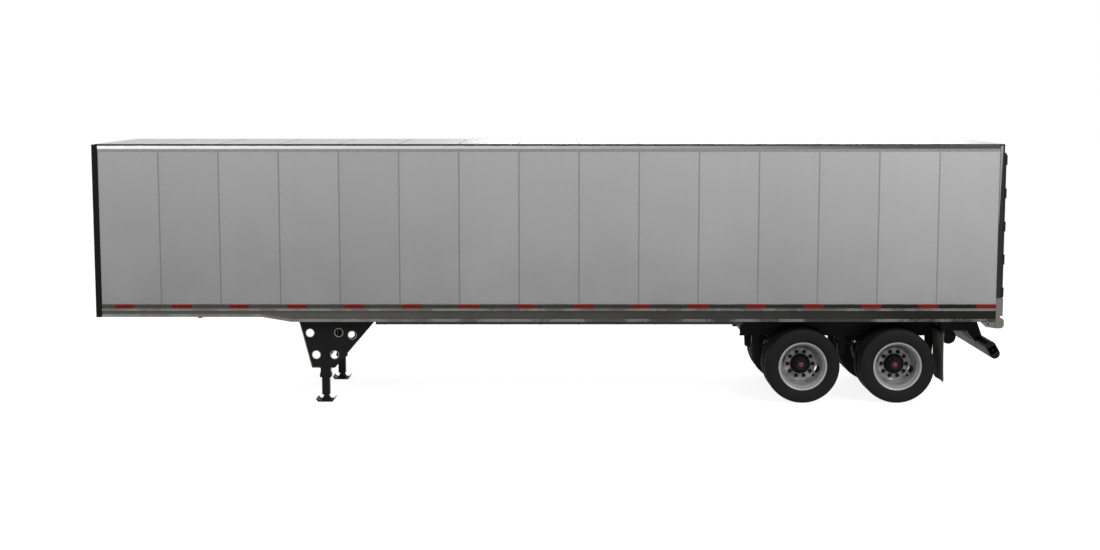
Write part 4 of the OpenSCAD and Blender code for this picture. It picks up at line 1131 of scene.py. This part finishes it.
def cut_rim(sizes):
    """The mesh of one rim with its holes cut, in the wheel's own frame."""
    bm = bmesh.new()
    add_lathe(bm, RIM_FACE + RIM_BACK, RIM_STEPS)
    bmesh.ops.remove_doubles(bm, verts=bm.verts, dist=1e-6)
    bmesh.ops.recalc_face_normals(bm, faces=bm.faces)
    mesh = bpy.data.meshes.new("rim_blank")
    bm.to_mesh(mesh)
    bm.free()
    blank = bpy.data.objects.new("rim_blank", mesh)
    cutter = hole_cutter(sizes)
    for made in (blank, cutter):
        bpy.context.scene.collection.objects.link(made)
    holes = blank.modifiers.new("holes", "BOOLEAN")
    holes.operation = "DIFFERENCE"
    holes.solver = "EXACT"
    holes.object = cutter
    shown = blank.evaluated_get(bpy.context.evaluated_depsgraph_get())
    cut = bpy.data.meshes.new_from_object(shown)
    for made in (blank, cutter):
        bpy.data.objects.remove(made)
    return cut


class TRAILER_OT_rims(BuildStep, bpy.types.Operator):
    """Builds the dished rims with their hand holes"""

    bl_idname = "trailer.rims"
    bl_label = "Rims"

    def execute(self, context):
        cut = cut_rim(context.scene.trailer_sizes)
        flip = Matrix.Diagonal((1, 1, -1, 1))
        for axle in AXLES:
            for side in SIDES:
                bm = bmesh.new()
                for matrix in (Matrix.Identity(4), flip):
                    before = set(bm.verts)
                    bm.from_mesh(cut)
                    made = [v for v in bm.verts if v not in before]
                    bmesh.ops.transform(bm, matrix=matrix, verts=made)
                bmesh.ops.transform(bm, matrix=wheel_place(axle, side), verts=bm.verts)
                make_piece(
                    f"{axle}_{side}_dished_rims", bm, finish_for("rim"),
                    f"{axle}_{side}_wheel_pair", (f"{axle}_{side}_rims",), 40,
                )
        return {"FINISHED"}


NUT_CIRCLE = 0.192
NUT_COUNT = 10
HUB_PROFILE = [
    (0.0453, -0.232), (0.0920, -0.232), (0.0920, -0.060), (0.1500, -0.042), (0.1500, 0.050),
    (0.1480, 0.060), (0.1420, 0.068), (0.1240, 0.078), (0.1185, 0.086), (0.1180, 0.094),
    (0.1040, 0.096), (0.0985, 0.100), (0.0960, 0.108), (0.0950, 0.126), (0.0910, 0.134),
    (0.0840, 0.138), (0.0600, 0.1382), (0.0560, 0.136), (0.0380, 0.136), (0.0001, 0.136),
    (0.0001, 0.094), (0.0453, 0.094),
]
DRUM_PROFILE = [
    (0.2060, -0.242), (0.2260, -0.242), (0.2260, -0.225), (0.2200, -0.222), (0.2200, -0.190),
    (0.2260, -0.187), (0.2260, -0.160), (0.2200, -0.157), (0.2200, -0.125), (0.2260, -0.122),
    (0.2260, -0.060), (0.2180, -0.042), (0.2100, -0.0225), (0.1495, -0.0225), (0.1495, -0.042),
    (0.2060, -0.042),
]
PLUG_PROFILE = [
    (0.0001, 0.1352), (0.0370, 0.1352), (0.0375, 0.1400), (0.0350, 0.1425), (0.0300, 0.1435),
    (0.0001, 0.1440),
]


class TRAILER_OT_hubs(BuildStep, bpy.types.Operator):
    """Builds the hubs with drums, nuts, cap bolts and centre plugs"""

    bl_idname = "trailer.hubs"
    bl_label = "Hubs"

    def execute(self, context):
        for axle in AXLES:
            for side in SIDES:
                place = wheel_place(axle, side)
                body = f"{axle}_{side}_wheel_pair"
                hub = bmesh.new()
                add_lathe(hub, HUB_PROFILE, 64)
                add_lathe(hub, DRUM_PROFILE, 64)
                for i in range(8):
                    turn = FULL_TURN * (i + 0.5) / 8
                    spot = (0.109 * math.cos(turn), 0.109 * math.sin(turn), 0.095)
                    add_peg(hub, spot, (0, 0, 1), 0.008, 0.006, 6, 0.007)
                bmesh.ops.transform(hub, matrix=place, verts=hub.verts)
                make_piece(
                    f"{axle}_{side}_hub_and_drum", hub, finish_for("hub"), body,
                    (f"{axle}_{side}_hub",), 38,
                )
                nuts = bmesh.new()
                for i in range(NUT_COUNT):
                    turn = FULL_TURN * i / NUT_COUNT
                    x, y = NUT_CIRCLE * math.cos(turn), NUT_CIRCLE * math.sin(turn)
                    add_peg(nuts, (x, y, DISC_FACE), (0, 0, 1), 0.0305, 0.006, 24, 0.0295)
                    add_peg(nuts, (x, y, DISC_FACE + 0.006), (0, 0, 1), 0.0270, 0.024, 6)
                    add_peg(nuts, (x, y, DISC_FACE + 0.030), (0, 0, 1), 0.0262, 0.006, 6, 0.018)
                    add_peg(nuts, (x, y, DISC_FACE + 0.036), (0, 0, 1), 0.011, 0.004, 16, 0.0095)
                bmesh.ops.transform(nuts, matrix=place, verts=nuts.verts)
                make_piece(
                    f"{axle}_{side}_wheel_nuts", nuts, finish_for("hub"), body,
                    (), 35,
                )
                plug = bmesh.new()
                add_lathe(plug, PLUG_PROFILE, 40)
                bmesh.ops.transform(plug, matrix=place, verts=plug.verts)
                make_piece(
                    f"{axle}_{side}_hub_plug", plug, finish_for("plug"), body, (), 35
                )
        return {"FINISHED"}


class TRAILER_OT_mud_flaps(BuildStep, bpy.types.Operator):
    """Builds the hanging mud flaps with their clamp bars and bolts"""

    bl_idname = "trailer.mud_flaps"
    bl_label = "Mud Flaps"

    def execute(self, context):
        flaps = bmesh.new()
        bolts = bmesh.new()
        width = 0.727
        middle_y = -FLAPS_LOW.y - width / 2
        middle_x = (FLAPS_LOW.x + FLAPS_HIGH.x) / 2
        height = FLAPS_HIGH.z - FLAPS_LOW.z
        for side in SIDES.values():
            before = set(flaps.verts)
            add_box(
                flaps, (middle_x - 0.0045, side * (middle_y - width / 2), FLAPS_LOW.z),
                (middle_x + 0.0045, side * (middle_y + width / 2), FLAPS_HIGH.z),
            )
            made = {v for v in flaps.verts if v not in before}
            edges = [e for e in flaps.edges if e.verts[0] in made and e.calc_length() > 0.1]
            bmesh.ops.subdivide_edges(flaps, edges=edges, cuts=23, use_grid_fill=True)
            for v in (v for v in flaps.verts if v not in before):
                down = (FLAPS_HIGH.z - v.co.z) / height
                across = (abs(v.co.y) - middle_y) / width
                v.co.x += 0.010 * down * down + 0.004 * math.sin(across * 9) * down
                # Rounded lower corners
                edge = max(0.0, abs(across) - 0.42) / 0.08
                v.co.z += 0.03 * edge * edge * max(0.0, down - 0.85) / 0.15
            for dy in along(-width / 2 + 0.06, width / 2 - 0.06, 0.13):
                spot = (FLAPS_LOW.x - 0.005, side * (middle_y + dy), FLAPS_HIGH.z - 0.03)
                add_peg(bolts, spot, (-1, 0, 0), 0.011, 0.007, 6)
                add_peg(bolts, spot, (1, 0, 0), 0.016, 0.005, 12)
            add_box(
                bolts, (FLAPS_LOW.x - 0.005, side * (middle_y - width / 2 + 0.01),
                        FLAPS_HIGH.z - 0.05),
                (FLAPS_LOW.x - 0.0005, side * (middle_y + width / 2 - 0.01),
                 FLAPS_HIGH.z - 0.01), 0.001,
            )
        make_piece(
            "hanging_mud_flaps", flaps, finish_for("flap"), "bogie",
            ("mud_flaps",), 40,
        )
        make_piece("mud_flap_clamps", bolts, finish_for("hardware"), "bogie")
        return {"FINISHED"}


class TRAILER_OT_rear_doors(BuildStep, bpy.types.Operator):
    """Adds edge channels, gaskets, rivets and reflective strips to the rear doors"""

    bl_idname = "trailer.rear_doors"
    bl_label = "Rear Doors"

    def execute(self, context):
        inner, outer = -DOOR_HIGH.y, -DOOR_LOW.y
        low, high = DOOR_LOW.z, DOOR_HIGH.z
        x = REAR_FACE
        for name, side in SIDES.items():
            body = f"{name}_door"
            edge = bmesh.new()
            wide = 0.034
            for y0, y1, z0, z1 in (
                (inner, inner + wide, low, high), (outer - wide, outer, low, high),
                (inner + wide, outer - wide, low, low + wide),
                (inner + wide, outer - wide, high - wide, high),
            ):
                add_box(edge, (x, side * y0, z0), (x + 0.0025, side * y1, z1), 0.001)
            make_piece(f"{name}_door_channels", edge, finish_for("rail"), body)
            seal = bmesh.new()
            for y0, y1, z0, z1 in (
                (inner - 0.0045, inner - 0.0003, low, high),
                (outer + 0.0003, outer + 0.004, low, high),
                (inner, outer, low - 0.006, low - 0.0003),
                (inner, outer, high + 0.0003, high + 0.004),
            ):
                add_box(seal, (x - 0.012, side * y0, z0), (x - 0.001, side * y1, z1), 0.001)
            make_piece(f"{name}_door_seals", seal, finish_for("gasket"), body)
            lip = bmesh.new()
            add_box(
                lip, (x + 0.0026, side * (outer - 0.012), low + 0.21),
                (x + 0.030, side * 1.2920, high - 0.004), 0.006, 2,
            )
            make_piece(f"{name}_door_edge_lip", lip, finish_for("post"), body)
            rivets = bmesh.new()
            for z in along(low + 0.06, high - 0.06, 0.2):
                for y in (inner + wide / 2, outer - wide / 2):
                    add_peg(rivets, (x + 0.0025, side * y, z), (1, 0, 0), 0.006, 0.002, 6, 0.0035)
            make_piece(f"{name}_door_rivets", rivets, finish_for("hardware"), body)
            tape = bmesh.new()
            for i, y in enumerate(along(inner + 0.12, outer - 0.32, 0.33)):
                add_box(
                    tape, (x, side * y, low + 0.05),
                    (x + 0.0014, side * (y + 0.2), low + 0.1), 0.0005,
                )
            make_piece(f"{name}_door_strips", tape, finish_for("tape"), body)
        return {"FINISHED"}


class TRAILER_OT_rear_lamps(BuildStep, bpy.types.Operator):
    """Builds the round tail lamps and the marker lamps"""

    bl_idname = "trailer.rear_lamps"
    bl_label = "Rear Lamps"

    def execute(self, context):
        lenses = bmesh.new()
        grommets = bmesh.new()
        x = LAMPS_LOW.x
        radius = 0.054
        lamp_z = LAMPS_LOW.z + radius
        turn = Matrix.Rotation(math.radians(90), 4, "Y")
        for side in SIDES.values():
            for y in (0.72, 0.85):
                spot = Matrix.Translation((x, side * y, lamp_z)) @ turn
                add_lathe(
                    lenses,
                    [(0.0001, 0.001), (0.046, 0.001), (0.046, 0.008), (0.040, 0.0115),
                     (0.028, 0.0125), (0.026, 0.0118), (0.0001, 0.0122)],
                    40, spot,
                )
                add_lathe(
                    grommets,
                    [(0.0465, 0.0), (0.054, 0.0), (0.054, 0.006), (0.052, 0.010),
                     (0.048, 0.0105), (0.0465, 0.008)],
                    40, spot,
                )
        z = (HEADER_LOW.z + HEADER_HIGH.z) / 2
        far = -POST_HIGH.y - 0.1
        for y in (-far, -0.16, 0, 0.16, far):
            add_box(grommets, (x, y - 0.045, z - 0.016), (x + 0.006, y + 0.045, z + 0.016), 0.002)
            add_box(lenses, (x + 0.004, y - 0.04, z - 0.012), (x + 0.014, y + 0.04, z + 0.012),
                    0.004, 3)
        make_piece(
            "rear_lamp_lenses", lenses, finish_for("lens"), "trailer_body",
            ("rear_lamps",), 35,
        )
        make_piece(
            "rear_lamp_grommets", grommets, finish_for("gasket"), "trailer_body",
            (), 35,
        )
        return {"FINISHED"}


# Holes of the landing gear gussets: distance from the leg's middle line, height
GUSSET_HOLES = [(-0.226, 1.062), (0.214, 1.067), (0.420, 1.027), (-0.134, 0.723), (0.146, 0.723)]
GUSSET_HOLE_RADIUS = 0.060
GUSSET_FOOT = -0.206


class TRAILER_OT_landing_gear(BuildStep, bpy.types.Operator):
    """Adds hole rims and edge strips in pale metal that paint highlights on the gussets, and bolts to the
    landing gear
    """

    bl_idname = "trailer.landing_gear"
    bl_label = "Landing Gear"

    def execute(self, context):
        leg_x = (LEG_LOW.x + LEG_HIGH.x) / 2
        face = -GUSSET_LOW.y
        for name, side in SIDES.items():
            rims = bmesh.new()
            turn = Matrix.Rotation(math.radians(-90 * side), 4, "X")
            # Raised rims round the holes, pale to paint their highlights
            for dx, z in GUSSET_HOLES:
                r = GUSSET_HOLE_RADIUS
                add_lathe(
                    rims,
                    [(r - 0.001, -0.0085), (r - 0.001, 0.0005), (r + 0.001, 0.0022),
                     (r + 0.008, 0.0022), (r + 0.010, 0.0), (r + 0.001, -0.001)],
                    40, Matrix.Translation((leg_x + dx, side * face, z)) @ turn,
                )
            # Pale strips along the gusset's edges: painted highlights
            corners = [(-0.400, GUSSET_HIGH.z), (GUSSET_FOOT, GUSSET_LOW.z), (-0.092, GUSSET_LOW.z)]
            inset = ((0.006, 0.0), (0.006, 0.006), (0.0, 0.006))
            points = [
                (leg_x + dx + ix, side * face, z + iz)
                for (dx, z), (ix, iz) in zip(corners, inset)
            ]
            for a, b in zip(points, points[1:]):
                add_bar(rims, a, b, (0, side, 0), 0.011, 0.002)
            make_piece(
                f"{name}_gusset_hole_highlight_rims", rims, finish_for("edge_highlight"), "trailer_body",
                (), 35,
            )
            bolts = bmesh.new()
            for x in along(GUSSET_LOW.x + 0.06, GUSSET_HIGH.x - 0.1, 0.15):
                base = Vector((x, side * face, GUSSET_HIGH.z - 0.055))
                add_peg(bolts, base, (0, side, 0), 0.017, 0.003, 16)
                add_peg(bolts, base + Vector((0, side * 0.003, 0)), (0, side, 0), 0.0125, 0.009, 6)
            for z in along(0.70, 1.10, 0.13):
                for dx in (-0.045, 0.045):
                    base = Vector((leg_x + dx, side * face, z))
                    add_peg(bolts, base, (0, side, 0), 0.013, 0.003, 16)
                    add_peg(
                        bolts, base + Vector((0, side * 0.003, 0)), (0, side, 0), 0.010, 0.007, 6
                    )
            make_piece(
                f"{name}_gusset_bolts", bolts, finish_for("black"), "trailer_body",
                (), 35,
            )
        return {"FINISHED"}


# Middle lines of the rear guard bar's two rounded edges
GUARD_LOW_X, GUARD_LOW_Z = REAR_FACE - 0.050, 0.768
GUARD_HIGH_X, GUARD_HIGH_Z = REAR_FACE - 0.113, 0.880


class TRAILER_OT_running_gear(BuildStep, bpy.types.Operator):
    """Adds the spring U-bolts, dark plates by the tail that paint shade, and the guard's end caps"""

    bl_idname = "trailer.running_gear"
    bl_label = "Running Gear"

    def execute(self, context):
        bolts = bmesh.new()
        for axle in AXLES:
            low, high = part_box(f"{axle}_axle")
            x = (low.x + high.x) / 2
            z = (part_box(f"{axle}_left_tyres")[0].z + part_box(f"{axle}_left_tyres")[1].z) / 2
            for side in SIDES.values():
                for dy in (-0.056, 0.056):
                    for dx in (-0.05, 0.05):
                        base = (x + dx, side * 0.5 + dy, z - 0.095)
                        add_peg(bolts, base, (0, 0, 1), 0.009, 0.29, 10)
                        add_peg(bolts, base, (0, 0, -1), 0.009, 0.022, 10)
                        add_peg(bolts, Vector(base) + Vector((0, 0, 0.010)), (0, 0, -1), 0.016,
                                0.014, 6)
                    add_box(
                        bolts, (x - 0.062, side * 0.5 + dy - 0.009, z + 0.178),
                        (x + 0.062, side * 0.5 + dy + 0.009, z + 0.196), 0.004, 2,
                    )
        plates = bmesh.new()
        caps = bmesh.new()
        guard_low, guard_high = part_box("underride_guard")
        for side in SIDES.values():
            # Dark plates by the tail, put where there is only shade: painted shade
            add_box(
                plates, (6.12, side * 0.600, 1.030), (6.66, side * 0.608, 1.2765), 0.002
            )
            for x, z in ((GUARD_HIGH_X, GUARD_HIGH_Z), (GUARD_LOW_X, GUARD_LOW_Z)):
                bmesh.ops.create_cone(
                    caps, cap_ends=True, segments=32, radius1=0.0775, radius2=0.0775,
                    depth=0.006, matrix=Matrix.Translation(
                        (x, side * (guard_high.y - 0.0035), z)
                    ) @ Matrix.Rotation(math.radians(90), 4, "X"),
                )
            add_bar(
                caps, (GUARD_HIGH_X, side * (guard_high.y - 0.0065), GUARD_HIGH_Z),
                (GUARD_LOW_X, side * (guard_high.y - 0.0065), GUARD_LOW_Z), (0, side, 0),
                0.155, 0.006,
            )
            mid = ((GUARD_HIGH_X + GUARD_LOW_X) / 2, side * (guard_high.y - 0.0005),
                   (GUARD_HIGH_Z + GUARD_LOW_Z) / 2)
            add_peg(caps, mid, (0, side, 0), 0.018, 0.0005 + 0.004, 16)
        make_piece("tail_shade_plates", plates, finish_for("black"), "trailer_body")
        make_piece(
            "guard_end_caps", caps, finish_for("black"), "trailer_body", (), 35
        )
        make_piece("spring_u_bolts", bolts, finish_for("black"), "bogie", (), 35)
        return {"FINISHED"}


class TRAILER_OT_stage(BuildStep, bpy.types.Operator):
    """Sets up the floor, the light, the background and the camera"""

    bl_idname = "trailer.stage"
    bl_label = "Stage"

    def execute(self, context):
        self.floor()
        self.world(context.scene)
        self.lamps()
        camera = bpy.data.cameras.new("side_view")
        camera.sensor_width = 36
        camera.lens = 54.16
        camera.clip_end = 400
        view = bpy.data.objects.new("side_view", camera)
        view.location = (0.015, -26.2275, 4.7996)
        view.rotation_euler = (math.radians(83.5534), 0, 0)
        context.scene.collection.objects.link(view)
        context.scene.camera = view
        context.scene.view_settings.view_transform = "Standard"
        return {"FINISHED"}

    def seen_directly(self, tree):
        """1 for rays that show a background: from the camera, a reflection or through glass."""
        path = add_node(tree, "ShaderNodeLightPath").outputs
        both = math_node(tree, "ADD", path["Is Camera Ray"], path["Is Glossy Ray"])
        return math_node(tree, "ADD", both, path["Is Transmission Ray"], clamp=True)

    def floor(self):
        bm = bmesh.new()
        bmesh.ops.create_grid(bm, x_segments=1, y_segments=1, size=120)
        mesh = bpy.data.meshes.new("studio_floor")
        bm.to_mesh(mesh)
        bm.free()
        floor = bpy.data.objects.new("studio_floor", mesh)
        bpy.context.scene.collection.objects.link(floor)
        finish, tree, shader, place = new_finish("studio_floor_paint")
        shader.inputs["Base Color"].default_value = (0.32, 0.32, 0.32, 1)
        shader.inputs["Roughness"].default_value = 0.9
        shader.inputs["Specular IOR Level"].default_value = 0.0
        shader.inputs["Emission Color"].default_value = (1, 1, 1, 1)
        glow = math_node(tree, "MULTIPLY", self.seen_directly(tree), 0.88)
        tree.links.new(glow, shader.inputs["Emission Strength"])
        mesh.materials.append(finish)

    def world(self, scene):
        world = bpy.data.worlds.new("studio")
        scene.world = world
        world.use_nodes = True
        tree = world.node_tree
        tree.nodes.clear()
        strength = ramp(tree, self.seen_directly(tree), 0.0, 1.0, 0.48, 1.0)
        light = add_node(
            tree, "ShaderNodeBackground", {"Color": (1, 1, 1, 1), "Strength": strength}
        )
        out = add_node(tree, "ShaderNodeOutputWorld")
        tree.links.new(light.outputs[0], out.inputs[0])

    def lamps(self):
        for name, spot, aim, width, height, power in (
            ("key", (12.0, -12.0, 11.0), (4.5, 0, 2.6), 9.0, 5.0, 1750),
            ("fill", (-9.0, -14.0, 9.0), (-3.0, 0, 2.2), 9.0, 5.0, 620),
            ("back", (4.0, 15.0, 8.0), (0.0, 0, 2.0), 12.0, 5.0, 820),
            ("front", (-17.0, -3.0, 7.0), (-6.8, 0, 2.4), 5.0, 4.0, 210),
            ("rear", (17.0, 3.0, 6.0), (6.8, 0, 2.4), 5.0, 4.0, 210),
        ):
            light = bpy.data.lights.new(name, "AREA")
            light.shape = "RECTANGLE"
            light.size, light.size_y, light.energy = width, height, power
            lamp = bpy.data.objects.new(name, light)
            lamp.location = spot
            aim_at = Vector(aim) - Vector(spot)
            lamp.rotation_euler = aim_at.to_track_quat("-Z", "Y").to_euler()
            bpy.context.scene.collection.objects.link(lamp)


STEPS = (
    TRAILER_OT_frame_finishes,
    TRAILER_OT_reflective_strips,
    TRAILER_OT_wall_seams,
    TRAILER_OT_rail_trim,
    TRAILER_OT_nose_corner_shades,
    TRAILER_OT_roof_details,
    TRAILER_OT_tyres,
    TRAILER_OT_rims,
    TRAILER_OT_hubs,
    TRAILER_OT_mud_flaps,
    TRAILER_OT_rear_doors,
    TRAILER_OT_rear_lamps,
    TRAILER_OT_landing_gear,
    TRAILER_OT_running_gear,
    TRAILER_OT_stage,
)


class TRAILER_PT_build(bpy.types.Panel):
    """Lists the building steps of the trailer"""

    bl_idname = "TRAILER_PT_build"
    bl_label = "Van Semi Trailer"
    bl_space_type = "VIEW_3D"
    bl_region_type = "UI"
    bl_category = "Trailer"

    def draw(self, context):
        column = self.layout.column(align=True)
        for step in STEPS:
            column.operator(step.bl_idname)
        for group in (context.scene.trailer_sizes, context.scene.trailer_colours):
            box = self.layout.box()
            for key in group.bl_rna.properties.keys():
                if key not in ("rna_type", "name"):
                    box.prop(group, key)


CLASSES = (TrailerSizes, TrailerColours, *STEPS, TRAILER_PT_build)


def register():
    for made in CLASSES:
        bpy.utils.register_class(made)
    bpy.types.Scene.trailer_sizes = PointerProperty(type=TrailerSizes)
    bpy.types.Scene.trailer_colours = PointerProperty(type=TrailerColours)


def unregister():
    del bpy.types.Scene.trailer_colours
    del bpy.types.Scene.trailer_sizes
    for made in reversed(CLASSES):
        bpy.utils.unregister_class(made)


def main():
    """Runs every building step in order."""
    register()
    for step in STEPS:
        group, name = step.bl_idname.split(".")
        getattr(getattr(bpy.ops, group), name)()


if __name__ == "__main__":
    main()
